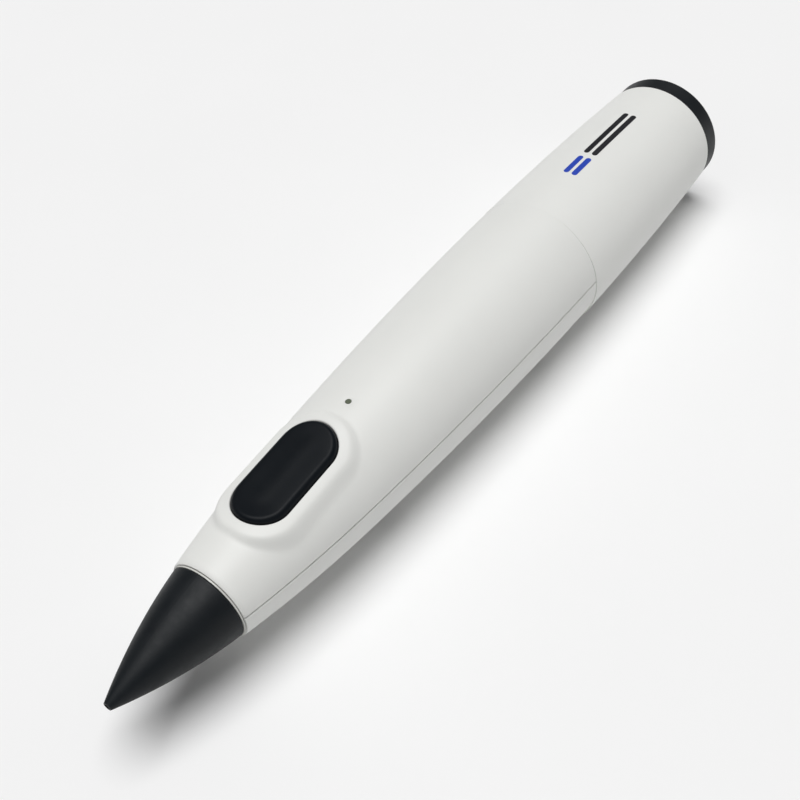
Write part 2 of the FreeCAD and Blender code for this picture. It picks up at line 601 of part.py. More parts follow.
def feed_button():
    """The long feed button: crowned, with a shallow finger dish, hollow below."""
    body = new_body("feed_button")
    outline = new_sketch(body, "button_outline", "XY_Plane", "button_base")
    draw(outline, rounded("-0.5*button_length", "0.5*button_length", "button_half",
                          "button_half"))
    extrude(body, outline, "blank_reach")
    crown = new_sketch(body, "button_crown_line", "XZ_Plane")
    draw(crown, [("-1*cut_reach", "button_top"), ("cut_reach", "button_top"),
                 ("cut_reach", "opening_reach"), ("-1*cut_reach", "opening_reach")])
    add_axis(crown, "button_top - button_crown")
    revolve(body, crown, "Groove", "Axis0")
    rim = edges_where(body.Tip, lambda p: abs(math.hypot(
        p.y, p.z - amount("button_top - button_crown")) - amount("button_crown")) < NEAR)
    soften(body, "Fillet", rim, "button_round")
    dish = new_sketch(body, "dish_line", "XZ_Plane")
    draw(dish, [("-1*dish_half", "dish_rim", "-1*dish_turn"), ("-1*dish_flat", "dish_depth"),
                ("dish_flat", "dish_depth", "-1*dish_turn"), ("dish_half", "dish_rim"),
                ("dish_half", "dish_sky"), ("-1*dish_half", "dish_sky")])
    add_axis(dish, "dish_depth + dish_crown")
    revolve(body, dish, "Groove", "Axis0")
    hollow = new_sketch(body, "button_hollow", "XY_Plane", "button_base")
    draw(hollow, rounded("button_wall - 0.5*button_length", "0.5*button_length - button_wall",
                         "button_half_inside", "button_half_inside"))
    extrude(body, hollow, "button_ceiling - button_base", "Pocket", reverse=True)
    stem = circle(new_sketch(body, "button_stem", "XY_Plane", "stem_end"), "0", "0",
                  "stem_radius")
    extrude(body, stem, "button_ceiling - stem_end + 2*overlap")
    tabs = new_sketch(body, "button_tabs", "XY_Plane", "tab_base")
    for sign in ("", "-1*"):
        near, far = sign + "tab_root", sign + "tab_reach"
        draw(tabs, [(near, "-1*tab_half"), (far, "-1*tab_half"), (far, "tab_half"),
                    (near, "tab_half")])
    extrude(body, tabs, "button_base - tab_base")
    return deliver(body, "feed_button", "button_place", "0", "button_seat", SLOPE)


feed_button()
deliver(fuse("lamp", peg("lamp_stem", "lamp_place", "0", "lamp_foot", "lamp_top", "lamp_radius"),
             peg("lamp_flange_disc", "lamp_place", "0", "lamp_foot", "lamp_flange_top",
                 "lamp_flange")), "indicator_light")

# ---------------------------------------------------------------- shell screws

def shell_screws():
    """Four pan-head screws, let into the lower shell from below."""
    shapes = []
    for end in ("front", "rear"):
        for hand, sign in (("left", ""), ("right", "-1*")):
            name = "%s_%s_screw" % (end, hand)
            x, y, seat = end + "_screw", sign + end + "_screw_side", end + "_seat"
            shank = peg(name + "_shank", x, y, seat, "screw_end", "screw_radius")
            head = peg(name + "_head", x, y, seat + " - screw_head_height", seat, "screw_head")
            slots = [primitive("Box", name + "_slot" + turn, x + " - " + dx, y + " - " + dy,
                               seat + " - screw_head_height", Length=length, Width=width,
                               Height="screw_slot")
                     for turn, dx, dy, length, width in (
                         ("a", "slot_long", "slot_short", "2*slot_long", "2*slot_short"),
                         ("b", "slot_short", "slot_long", "2*slot_short", "2*slot_long"))]
            shapes.append(cut(name, fuse(name, shank, head), *slots))
    screws = doc.addObject("Part::Compound", "screws")
    screws.Links = shapes
    return deliver(screws, "shell_screws")


shell_screws()

# ---------------------------------------------------------------- hot end

spin("brass_nozzle", [
    ("nozzle_front", "orifice"), ("nozzle_front", "nozzle_tip"), ("nozzle_tip_end", "nozzle_tip"),
    ("nozzle_cone_end", "nozzle_body"), ("nozzle_body_end", "nozzle_body"),
    ("nozzle_body_end", "nozzle_shank"), ("nozzle_end", "nozzle_shank"),
    ("nozzle_end", "melt_bore"), ("nozzle_tip_end + past", "melt_bore"),
    ("nozzle_tip_end", "orifice")])
spin("heater_core", [
    ("nozzle_body_end", "core_socket"), ("nozzle_body_end", "core_radius"),
    ("core_end", "core_radius"), ("core_end", "melt_bore"), ("core_socket_end", "melt_bore"),
    ("core_socket_end", "core_socket")])
ring("heater_wrap", "wrap_start", "wrap_end", "wrap_radius", "wrap_bore")
ring("insulation_sleeve", "insulation_start", "insulation_end", "insulation_radius",
     "insulation_bore")
sensor = primitive("Sphere", "sensor_bead", Radius="sensor_radius")
deliver(sensor, "temperature_sensor", "sensor_place", "0", "sensor_height")
ring("heat_break", "core_end", "break_end", "break_radius", "melt_bore")
deliver(cut("mount", rod("mount_disc", "mount_start", "mount_end", "mount_radius"),
            rod("mount_front", "mount_start", "core_end", "mount_socket"),
            rod("mount_through", "mount_start", "mount_end", "mount_bore"),
            rod("mount_lead_left", "mount_start", "mount_end", "lead_hole", "lead_side"),
            rod("mount_lead_right", "mount_start", "mount_end", "lead_hole", "-1*lead_side")),
        "hot_end_mount")

# ---------------------------------------------------------------- filament guides

def front_guide():
    """The bent tube from the drive down to the hot end's axis."""
    body = new_body("front_guide_tube")
    path = new_sketch(body, "guide_path", "XZ_Plane")
    bends = rounded_corners([("break_end", "0"), ("front_bend", "0"),
                             ("rear_bend", "feed_height"), ("front_guide_end", "feed_height")],
                            ["front_arc", "rear_arc"])
    for edge in bends:
        path.addGeometry(edge, False)
    for index in range(len(bends) - 1):
        path.addConstraint(Sketcher.Constraint("Block", index))
    profile = new_sketch(body, "guide_profile", "YZ_Plane", "break_end")
    circle(profile, "0", "0", "guide_radius")
    circle(profile, "0", "0", "guide_bore")
    pipe = body.newObject("PartDesign::AdditivePipe", "guide_pipe")
    pipe.Profile = (profile, [""])
    pipe.Spine = (path, [""])
    check_feature(body, pipe)
    return deliver(body, "front_guide_tube")


def rounded_corners(corners, radii):
    """Lines and tangent arcs through corners given as sums, in a sketch's own plane."""
    spots = [V(amount(x), amount(y), 0) for x, y in corners]
    return round_path(spots, [amount(radius) for radius in radii])


def round_path(spots, radii):
    """Straight runs through points, with an arc tangent to both runs at each inner point."""
    edges, start = [], spots[0]
    for before, here, after, radius in zip(spots, spots[1:], spots[2:], radii):
        into, out = (here - before).normalize(), (after - here).normalize()
        half = into.getAngle(out) / 2
        back = radius * math.tan(half)
        first, last = here - into * back, here + out * back
        middle = here + (out - into).normalize() * radius * (1 / math.cos(half) - 1)
        edges += [Part.LineSegment(start, first), Part.Arc(first, middle, last)]
        start = last
    return edges + [Part.LineSegment(start, spots[-1])]


front_guide()
ring("rear_guide_tube", "rear_guide_start", "rear_guide_end", "guide_radius", "guide_bore",
     "feed_height")

# ---------------------------------------------------------------- drive frame and gear train

deliver(cut("frame", block("frame_outer", "frame_start", "frame_end", "-1*frame_half",
                           "frame_half", "frame_bottom", "frame_top"),
            block("frame_inner", "frame_wall_end", "frame_end + past", "-1*frame_bore_half",
                  "frame_bore_half", "frame_bottom - past", "frame_top + past"),
            rod("frame_shaft_hole", "frame_start - past", "frame_wall_end + past", "shaft_bore",
                z="output_line"),
            rod("frame_feed_hole", "frame_start - past", "frame_wall_end + past", "frame_hole",
                z="feed_height"),
            pin("frame_pivot_hole", "pivot_place", "pivot_height", "frame_half",
                "pivot_seat", "past")), "drive_frame")


def gear_plate(label, start, motor_hole, output_hole):
    """A gearbox plate with a hole on the motor's line and one on the output line."""
    plate = block(label + "_blank", start, start + " + plate_thickness", "-1*plate_half",
                  "plate_half", "plate_bottom", "plate_top")
    holes = [rod(label + "_hole" + str(number), start, start + " + plate_thickness", radius,
                 z=line) for number, (radius, line) in enumerate(
                     ((motor_hole, "motor_line"), (output_hole, "output_line")))]
    return deliver(cut(label, plate, *holes), label)


gear_plate("gearbox_front_plate", "front_plate", "arbor_seat", "shaft_bore")
gear_plate("gearbox_rear_plate", "rear_plate", "motor_hole", "arbor_seat")
posts = doc.addObject("Part::Compound", "plate_posts")
posts.Links = [rod("plate_post_" + hand, "front_plate + plate_thickness", "rear_plate",
                   "plate_post", sign + "post_side", "post_height")
               for hand, sign in (("left", ""), ("right", "-1*"))]
deliver(posts, "gearbox_posts")
deliver(rod("second_arbor_rod", "front_plate", "second_arbor_end", "arbor_radius"),
        "second_arbor", "front_plate", z="motor_line", turn=ALONG_X)
deliver(rod("first_arbor_rod", "first_arbor_start", "rear_plate + plate_thickness",
            "arbor_radius"), "first_arbor", "first_arbor_start", z="output_line", turn=ALONG_X)


def involute(angle):
    """The involute of an angle, in radians."""
    return math.tan(angle) - angle


def tooth_gap(teeth):
    """Half the space between two teeth, as (radius, angle) pairs from root to beyond the tip."""
    module, pressure = amount("gear_module"), math.radians(amount("pressure_angle"))
    pitch = module * teeth / 2
    base = pitch * math.cos(pressure)
    root, tip = pitch - module * amount("dedendum"), pitch + module * amount("addendum")
    thick = math.pi / 2 / teeth - amount("tooth_slack") / 2 / pitch
    flank = []
    for step in range(6):
        radius = root + (tip - root) * step / 5
        slope = math.acos(min(1.0, base / radius))
        flank.append((radius, math.pi / teeth - thick - involute(pressure) + involute(slope)))
    beyond = flank[-1][1] + (flank[-1][1] - flank[-2][1]) / 2
    return flank + [(tip + module / 2, beyond)]


def cut_teeth(body, name, start, width, teeth, turn):
    """Cut every tooth gap of a gear whose blank stands at start, one gap centred on turn."""
    count = int(amount(teeth))
    flank = tooth_gap(count)
    gap = new_sketch(body, name + "_gap", "YZ_Plane", start)
    spots = [(r, turn - a) for r, a in flank] + [(r, turn + a) for r, a in reversed(flank)]
    spots = [V(r * math.cos(a), r * math.sin(a), 0) for r, a in spots]
    for first, last in zip(spots, spots[1:] + spots[:1]):
        gap.addGeometry(Part.LineSegment(first, last), False)
    one = extrude(body, gap, width, "Pocket", reverse=True)
    pattern = body.newObject("PartDesign::PolarPattern", name + "_teeth")
    pattern.Originals = [one]
    pattern.Axis = (gap, ["N_Axis"])
    pattern.Angle = 360.0
    pattern.Occurrences = count
    pattern.setExpression("Occurrences", formula(teeth))
    body.Tip = pattern
    return check_feature(body, pattern)


def gear_blank(body, name, start, width, teeth, bore):
    """A plain disc of a gear's outer size, with its bore."""
    blank = new_sketch(body, name + "_blank", "YZ_Plane", start)
    circle(blank, "0", "0", "0.5*gear_module*" + teeth + " + addendum*gear_module")
    circle(blank, "0", "0", bore)
    return extrude(body, blank, width)


UP, DOWN = math.pi / 2, -math.pi / 2


def compound_gear(label, line, wheel, pinion, wheel_gap, pinion_gap):
    """A wheel and a smaller pinion in one piece, turning on an arbor."""
    body = new_body(label)
    gear_blank(body, label + "_wheel", wheel, "wheel_width", "wheel_teeth", "arbor_bore")
    cut_teeth(body, label + "_wheel", wheel, "wheel_width", "wheel_teeth", wheel_gap)
    gear_blank(body, label + "_pinion", pinion, "pinion_width", "pinion_teeth", "arbor_bore")
    cut_teeth(body, label + "_pinion", pinion, "pinion_width", "pinion_teeth", pinion_gap)
    return deliver(body, label, z=line)


def plain_gear(label, line, start, width, teeth, bore, gap):
    """A single gear on its own bore."""
    body = new_body(label)
    gear_blank(body, label + "_disc", start, width, teeth, bore)
    cut_teeth(body, label + "_disc", start, width, teeth, gap)
    return deliver(body, label, z=line)


# A driving pinion's tooth points at the wheel, and the wheel's gap faces it.
TOOTH = math.pi / amount("pinion_teeth")
plain_gear("motor_pinion", "motor_line", "motor_pinion_start", "motor_pinion_width",
           "pinion_teeth", "pinion_seat", UP + TOOTH)
compound_gear("first_gear", "output_line", "first_wheel", "first_pinion", DOWN, DOWN + TOOTH)
compound_gear("second_gear", "motor_line", "second_wheel", "second_pinion", UP, UP + TOOTH)
plain_gear("output_gear", "output_line", "output_wheel", "wheel_width", "wheel_teeth",
           "shaft_seat", DOWN)
deliver(rod("output_shaft_rod", "shaft_start", "shaft_end", "shaft_radius"),
        "output_shaft", "shaft_start", z="output_line", turn=ALONG_X)


def feed_screw():
    """The brass drive roller: ring grooves at the thread's pitch grip the filament's side."""
    corners = [("screw_start", "shaft_seat"), ("screw_start", "screw_root")]
    turns = int((amount("screw_stop") - amount("screw_start")) / amount("screw_pitch"))
    for turn in range(turns):
        ridge = "screw_start + %g*screw_pitch" % (turn + 0.5)
        corners += [(ridge + " - screw_edge", "screw_root"), (ridge, "screw_tip"),
                    (ridge + " + screw_edge", "screw_root")]
    corners += [("screw_stop", "screw_root"), ("screw_stop", "shaft_seat")]
    return spin("feed_screw", corners, "output_line")


feed_screw()

# ---------------------------------------------------------------- motor

def flat_can(name, start, stop, radius, flat):
    """A round bar along X with a flat above and below, as a small motor's can has."""
    return common(name, rod(name + "_bar", start, stop, radius, z="motor_line"),
                  block(name + "_flats", start, stop, "-1*" + radius, radius,
                        "motor_line - " + flat, "motor_line + " + flat))


deliver(cut("can", flat_can("can_outside", "motor_start", "motor_can_end", "motor_radius",
                            "motor_flat"),
            flat_can("can_inside", "motor_start + motor_front_wall", "motor_can_end",
                     "motor_radius_inside", "motor_flat_inside"),
            rod("can_hole", "motor_start", "motor_start + motor_front_wall", "motor_hole",
                z="motor_line")), "motor_can")
deliver(cut("brush_cap", flat_can("brush_cap_outside", "motor_can_end", "motor_end",
                                  "motor_radius", "motor_flat"),
            rod("brush_cap_hole", "motor_can_end", "motor_shaft_end + overlap", "motor_bearing",
                z="motor_line")), "motor_end_cap")
ring("motor_magnet", "magnet_start", "magnet_end", "magnet_radius", "magnet_bore", "motor_line")
spin("motor_rotor", [
    ("motor_shaft_start", "0"), ("motor_shaft_start", "arbor_radius"),
    ("rotor_start", "arbor_radius"), ("rotor_start", "rotor_radius"),
    ("rotor_end", "rotor_radius"), ("rotor_end", "arbor_radius"),
    ("commutator_start", "arbor_radius"), ("commutator_start", "commutator_radius"),
    ("commutator_end", "commutator_radius"), ("commutator_end", "arbor_radius"),
    ("motor_shaft_end", "arbor_radius"), ("motor_shaft_end", "0")], "motor_line")

# ---------------------------------------------------------------- idler

deliver(cut("lever", block("lever_blank", "lever_start", "lever_end", "-1*lever_half",
                           "lever_half", "lever_bottom", "lever_top"),
            block("lever_gap", "lever_slot", "lever_end + past", "-1*lever_slot_half",
                  "lever_slot_half", "lever_bottom - past", "lever_top + past"),
            pin("lever_axle_hole", "idler_place", "idler_height", "lever_half", "axle_seat",
                "past"),
            pin("lever_pivot_hole", "pivot_place", "pivot_height", "lever_half", "pivot_bore",
                "past")), "idler_lever")
deliver(cut("idler", pin("idler_disc", "idler_place", "idler_height", "idler_half",
                         "idler_radius"),
            pin("idler_hole", "idler_place", "idler_height", "idler_half", "idler_bore", "past")),
        "idler_roller")
deliver(pin("idler_axle_rod", "idler_place", "idler_height", "lever_half", "axle_radius"),
        "idler_axle", "idler_place", "-1*lever_half", "idler_height", ALONG_Y)
deliver(pin("pivot_rod", "pivot_place", "pivot_height", "pivot_half", "pivot_radius"),
        "lever_pivot", "pivot_place", "-1*pivot_half", "pivot_height", ALONG_Y)
spring_turn = [primitive("Cylinder", "spring_" + name, "pivot_place", "lever_spring_start",
                         "pivot_height", ALONG_Y, Radius=radius,
                         Height="lever_spring_end - lever_spring_start")
               for name, radius in (("outside", "lever_spring_radius"),
                                    ("inside", "lever_spring_bore"))]
deliver(cut("lever_spring", *spring_turn), "lever_spring")

# ---------------------------------------------------------------- control board

deliver(block("board", "board_start", "board_end", "-1*board_half", "board_half",
              "board_bottom", "board_top"), "control_board", "board_start", "-1*board_half",
        "board_bottom")
deliver(cut("switch", block("switch_case", "button_place - switch_half",
                            "button_place + switch_half", "-1*switch_half", "switch_half",
                            "board_top", "switch_top"),
            peg("switch_well", "button_place", "0", "plunger_foot - well_depth", "switch_top",
                "plunger_hole")), "switch_body")
deliver(peg("plunger_rod", "button_place", "0", "plunger_foot", "plunger_top",
            "plunger_radius"), "switch_plunger", "button_place", "0", "plunger_foot")
deliver(block("lamp_chip_block", "lamp_place - lamp_chip_half", "lamp_place + lamp_chip_half",
              "-1*lamp_hole", "lamp_hole", "board_top", "lamp_chip_top"), "lamp_chip",
        "lamp_place - lamp_chip_half", "-1*lamp_hole", "board_top")
deliver(block("driver_chip_block", "chip_place - chip_half", "chip_place + chip_half",
              "-1*chip_half", "chip_half", "board_top", "chip_top"), "driver_chip",
        "chip_place - chip_half", "-1*chip_half", "board_top")

# ---------------------------------------------------------------- battery

def battery():
    """The lithium cell, with its positive nub towards the nozzle."""
    body = new_body("battery_cell")
    solid = revolve(body, draw(new_sketch(body, "cell_outline", "XZ_Plane"), [
        ("nub_start", "0"), ("nub_start", "nub_radius"), ("cell_start", "nub_radius"),
        ("cell_start", "cell_radius"), ("cell_end", "cell_radius"), ("cell_end", "0")]))
    rims = edges_where(solid, lambda p: math.hypot(p.y, p.z) > amount("cell_radius") - ON_RIM
                       and (abs(p.x - amount("cell_start")) < TOUCH
                            or abs(p.x - amount("cell_end")) < TOUCH))
    soften(body, "Fillet", rims, "cell_edge")
    return deliver(body, "battery_cell", z="cell_height")


battery()
for label, start in (("battery_front_tab", "nub_start - tab_thickness"),
                     ("battery_rear_tab", "cell_end")):
    deliver(rod(label + "_disc", start, start + " + tab_thickness", "tab_radius"), label, start,
            z="cell_height", turn=ALONG_X)
for label, start in (("battery_front_pad", "front_pad"), ("battery_rear_pad", "rear_pad")):
    ring(label, start, start + " + pad_width", "pad_radius", "pad_bore", "cell_height")

# ---------------------------------------------------------------- charging socket

deliver(block("charge_blank", "charge_start", "charge_end", "-1*charge_half", "charge_half",
              "charge_bottom", "charge_top"), "charge_board", "charge_start", "-1*charge_half",
        "charge_bottom")


def charge_socket():
    """The charging socket: a stadium shell closed behind, with its tongue."""
    body = new_body("charge_socket")
    outside = new_sketch(body, "socket_outside", "YZ_Plane", "socket_start")
    draw(outside, rounded("-0.5*socket_width", "0.5*socket_width", "socket_half",
                          "socket_half"))
    extrude(body, outside, "socket_end - socket_start")
    inside = new_sketch(body, "socket_inside", "YZ_Plane", "tongue_start")
    draw(inside, rounded("socket_wall - 0.5*socket_width", "0.5*socket_width - socket_wall",
                         "socket_half_inside", "socket_half_inside"))
    extrude(body, inside, "cut_reach", "Pocket", reverse=True)
    tongue = new_sketch(body, "socket_tongue", "YZ_Plane", "tongue_start - overlap")
    draw(tongue, [("-1*tongue_half", "-0.5*tongue_thickness"),
                  ("tongue_half", "-0.5*tongue_thickness"),
                  ("tongue_half", "0.5*tongue_thickness"),
                  ("-1*tongue_half", "0.5*tongue_thickness")])
    extrude(body, tongue, "tongue_end - tongue_start + overlap")
    return deliver(body, "charge_socket", z="port_centre")


charge_socket()

# ---------------------------------------------------------------- leads

# Each lead's route, from the piece it serves to the control board, as points in the pen's lines.
LEADS = {
    "battery_front_lead": [(63.0, 3.4, 7.75), (66.5, 3.4, 7.75), (70.5, 3.4, 9.15),
                           (75.0, 3.4, 9.4), (104.0, 3.4, 9.4), (110.0, 3.4, 4.0),
                           (114.2, 2.0, -2.0)],
    "battery_rear_lead": [(63.0, -3.4, 7.75), (66.5, -3.4, 7.75), (70.5, -3.4, 9.15),
                          (75.0, -3.4, 9.4), (105.0, -3.4, 9.4), (114.5, -3.4, 7.0),
                          (124.0, -5.2, 4.4), (164.0, -5.2, 4.4), (168.6, -4.6, 1.2),
                          (169.0, -4.0, -5.1)],
    "motor_left_lead": [(106.8, 6.9, -2.2), (100.0, 8.4, -1.0), (76.0, 8.4, -1.0),
                        (68.6, 8.6, 0.6), (66.2, 6.2, 4.6), (65.5, 4.7, 6.8)],
    "motor_right_lead": [(106.8, -6.9, -2.2), (100.0, -8.4, -1.0), (76.0, -8.4, -1.0),
                         (68.6, -8.6, 0.6), (66.2, -6.2, 4.6), (65.5, -4.7, 6.8)],
    "heater_left_lead": [(22.9, 3.1, 0.0), (25.5, 3.4, 0.0), (30.0, 3.4, 0.0),
                         (36.0, 3.2, 3.0), (41.0, 3.0, 5.75), (44.0, 3.0, 5.85)],
    "heater_right_lead": [(22.9, -3.1, 0.0), (25.5, -3.4, 0.0), (30.0, -3.4, 0.0),
                          (36.0, -3.2, 3.0), (41.0, -3.0, 5.75), (44.0, -3.0, 5.85)],
}


def lead(label, route):
    """An insulated lead: straight runs joined by arcs as large as the runs allow."""
    spots = [V(*spot) for spot in route]
    radii = []
    for before, here, after in zip(spots, spots[1:], spots[2:]):
        run = min((here - before).Length, (after - here).Length)
        half = (here - before).getAngle(after - here) / 2
        radii.append(0.45 * run / math.tan(half))
    wire = Part.Wire([edge.toShape() for edge in round_path(spots, radii)])
    start, along = spots[0], spots[1] - spots[0]
    section = Part.Wire(Part.Circle(start, along, amount("lead_radius")).toShape())
    item = doc.addObject("Part::Feature", label + "_pipe")
    item.Shape = wire.makePipeShell([section], True, False)
    return deliver(item, label)


for label, route in LEADS.items():
    lead(label, route)

# ---------------------------------------------------------------- write the pieces

doc.recompute()
for item in doc.Objects:
    if "Invalid" in item.State or "Error" in item.State:
        raise RuntimeError("%s: %s" % (item.Label, item.State))
os.makedirs("parts", exist_ok=True)
for piece in pieces:
    shape = piece.Shape
    if shape.isNull() or not shape.isValid() or shape.Volume <= 0:
        raise RuntimeError(piece.Label + " has no valid solid")
    shape.exportStep("parts/%s.step" % piece.Label)
    print("%-24s %9.2f mm3  %d solid(s)" % (piece.Label, shape.Volume, len(shape.Solids)))
print(len(pieces), "pieces")
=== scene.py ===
import json
import math

import bmesh
import bpy
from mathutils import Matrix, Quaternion, Vector


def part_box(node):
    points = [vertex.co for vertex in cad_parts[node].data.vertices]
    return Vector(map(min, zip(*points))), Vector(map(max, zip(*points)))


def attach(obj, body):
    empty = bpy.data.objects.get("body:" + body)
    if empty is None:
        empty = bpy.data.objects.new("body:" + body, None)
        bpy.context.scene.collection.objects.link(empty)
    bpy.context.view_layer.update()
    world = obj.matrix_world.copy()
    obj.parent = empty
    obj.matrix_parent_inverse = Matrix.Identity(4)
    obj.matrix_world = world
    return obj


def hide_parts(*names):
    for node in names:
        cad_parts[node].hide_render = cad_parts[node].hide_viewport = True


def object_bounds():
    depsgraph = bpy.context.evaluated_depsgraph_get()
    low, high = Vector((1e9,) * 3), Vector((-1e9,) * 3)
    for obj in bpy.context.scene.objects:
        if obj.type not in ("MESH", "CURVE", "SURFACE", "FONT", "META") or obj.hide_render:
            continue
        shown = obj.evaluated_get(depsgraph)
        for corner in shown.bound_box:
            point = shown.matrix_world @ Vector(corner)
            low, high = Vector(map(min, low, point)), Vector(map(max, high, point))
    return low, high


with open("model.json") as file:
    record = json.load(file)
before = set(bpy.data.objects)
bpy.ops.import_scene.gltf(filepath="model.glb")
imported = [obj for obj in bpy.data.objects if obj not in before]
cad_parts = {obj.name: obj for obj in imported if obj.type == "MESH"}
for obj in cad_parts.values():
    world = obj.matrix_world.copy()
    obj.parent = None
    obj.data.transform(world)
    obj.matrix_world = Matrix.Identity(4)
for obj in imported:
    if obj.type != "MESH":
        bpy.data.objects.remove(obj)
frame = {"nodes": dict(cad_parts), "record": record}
cad_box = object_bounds()

MM = 0.001
LOW, HIGH = cad_box
COVER_LOW, COVER_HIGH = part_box("nozzle_cover")
NOSE = Vector((LOW.x, (LOW.y + HIGH.y) / 2, (COVER_LOW.z + COVER_HIGH.z) / 2))


def pen(x, y=0.0, z=0.0):
    """A place in the pen's own lines, in millimetres from the nozzle tip, in the row frame."""
    return NOSE + Vector((x, y, z)) * MM


# ---------------------------------------------------------------- camera

CAMERA_AIM = pen(77.5, 0.345, 0.225)
CAMERA_DISTANCE = 0.23355
CAMERA_AZIMUTH = math.radians(-48.0)
CAMERA_ELEVATION = math.radians(46.06)
CAMERA_ROLL = math.radians(-7.35)
CAMERA_LENS = 55.66


def make_camera():
    """The camera that shows the pen as it is photographed, nose towards the lower left."""
    data = bpy.data.cameras.new("camera")
    data.lens = CAMERA_LENS
    data.sensor_width = 36.0
    data.clip_start = 0.01
    data.clip_end = 10.0
    camera = bpy.data.objects.new("camera", data)
    bpy.context.scene.collection.objects.link(camera)
    back = Vector((math.sin(CAMERA_AZIMUTH) * math.cos(CAMERA_ELEVATION),
                   -math.cos(CAMERA_AZIMUTH) * math.cos(CAMERA_ELEVATION),
                   math.sin(CAMERA_ELEVATION)))
    camera.location = CAMERA_AIM + back * CAMERA_DISTANCE
    camera.rotation_mode = "QUATERNION"
    level = (-back).to_track_quat("-Z", "Y")
    camera.rotation_quaternion = level @ Quaternion((0, 0, 1), CAMERA_ROLL)
    bpy.context.scene.camera = camera


make_camera()

# ---------------------------------------------------------------- node helpers


def bare_material(name):
    """A new node material, its tree and its shader."""
    material = bpy.data.materials.new(name)
    material.use_nodes = True
    tree = material.node_tree
    return material, tree, tree.nodes["Principled BSDF"]


def noise(tree, scale, detail=3.0, rough=0.55, vector=None):
    """A noise value from 0 to 1."""
    node = tree.nodes.new("ShaderNodeTexNoise")
    node.inputs["Scale"].default_value = scale
    node.inputs["Detail"].default_value = detail
    node.inputs["Roughness"].default_value = rough
    if vector is not None:
        tree.links.new(vector, node.inputs["Vector"])
    return node.outputs["Fac"]


def spread(tree, value, low, high, start=0.3, end=0.7):
    """Stretch a value from start..end to low..high, and hold it at those outside."""
    node = tree.nodes.new("ShaderNodeMapRange")
    node.inputs["From Min"].default_value = start
    node.inputs["From Max"].default_value = end
    node.inputs["To Min"].default_value = low
    node.inputs["To Max"].default_value = high
    tree.links.new(value, node.inputs["Value"])
    return node.outputs["Result"]


def mix(tree, factor, first, second):
    """Mix two colours, each a colour or another node's output."""
    node = tree.nodes.new("ShaderNodeMix")
    node.data_type = "RGBA"
    tree.links.new(factor, node.inputs[0])
    for socket, value in ((node.inputs[6], first), (node.inputs[7], second)):
        if isinstance(value, bpy.types.NodeSocket):
            tree.links.new(value, socket)
        else:
            socket.default_value = (*value, 1.0)
    return node.outputs[2]


def bump(tree, height, strength, distance):
    """A normal roughened by a height."""
    node = tree.nodes.new("ShaderNodeBump")
    node.inputs["Strength"].default_value = strength
    node.inputs["Distance"].default_value = distance
    tree.links.new(height, node.inputs["Height"])
    return node.outputs["Normal"]


def object_place(tree):
    """The place on the piece itself, which textures follow."""
    return tree.nodes.new("ShaderNodeTexCoord").outputs["Object"]


def shade(colour, factor):
    """A colour made lighter or darker."""
    return tuple(min(1.0, c * factor) for c in colour)


EDGE_REACH = 0.00035
EDGE_SAMPLES = 4
EDGE_FULL = 0.80
EDGE_NONE = 0.995


def edge_mask(tree):
    """Where the surface turns sharply: corners and rims, which are given a lighter colour."""
    rounded = tree.nodes.new("ShaderNodeBevel")
    rounded.samples = EDGE_SAMPLES
    rounded.inputs["Radius"].default_value = EDGE_REACH
    facing = tree.nodes.new("ShaderNodeVectorMath")
    facing.operation = "DOT_PRODUCT"
    tree.links.new(rounded.outputs["Normal"], facing.inputs[0])
    tree.links.new(tree.nodes.new("ShaderNodeNewGeometry").outputs["Normal"], facing.inputs[1])
    return spread(tree, facing.outputs["Value"], 1.0, 0.0, EDGE_FULL, EDGE_NONE)


BUMP_STRENGTH = 0.35


def finish_material(name, colour, rough, metal=0.0, grain=2500.0, grain_depth=0.00002,
                    blotch=60.0, variation=0.05, rough_variation=0.08, edge=None, coat=0.0,
                    specular=0.5, streak=None, sheen=0.0):
    """A surface with fine grain, broad tone variation, rims coloured lighter and uneven gloss."""
    material, tree, shader = bare_material(name)
    place = object_place(tree)
    broad = spread(tree, noise(tree, blotch, 4.0, 0.6, place), 0.0, 1.0)
    tone = mix(tree, broad, shade(colour, 1 - variation), shade(colour, 1 + variation))
    fine = noise(tree, grain, 2.0, 0.6, place)
    # Sharp corners and rims are coloured lighter, in the edge colour; the pen itself shows no wear
    # there.
    if edge:
        tone = mix(tree, edge_mask(tree), tone, edge)
    tree.links.new(tone, shader.inputs["Base Color"])
    uneven = noise(tree, blotch * 4, 5.0, 0.7, place)
    tree.links.new(spread(tree, uneven, rough - rough_variation, rough + rough_variation),
                   shader.inputs["Roughness"])
    height = fine
    if streak:
        stretched = tree.nodes.new("ShaderNodeMapping")
        stretched.inputs["Scale"].default_value = streak
        tree.links.new(place, stretched.inputs["Vector"])
        height = noise(tree, 1.0, 3.0, 0.7, stretched.outputs["Vector"])
    tree.links.new(bump(tree, height, BUMP_STRENGTH, grain_depth), shader.inputs["Normal"])
    shader.inputs["Metallic"].default_value = metal
    shader.inputs["Specular IOR Level"].default_value = specular
    shader.inputs["Coat Weight"].default_value = coat
    shader.inputs["Sheen Weight"].default_value = sheen
    return material


# ---------------------------------------------------------------- floor and light

WALL_GLOW = 0.02
CEILING_GLOW = 0.22
KEY_TOWARD = (0.05, 0.0, 1.38)
KEY_STRENGTH = 2.76
KEY_ANGLE = math.radians(44)
FLOOR_GLOW = 0.05
FLOOR_HALF = 20.0
FLOOR_ROUGH = 0.9
FLOOR_SPECULAR = 0.1
FLOOR_GRAIN = 900.0
FLOOR_TONES = (0.82, 0.84)
HORIZON_GLOW = 0.83
HORIZON_RISE = (0.07, 0.14)
CEILING_RISE = (0.3, 1.0)


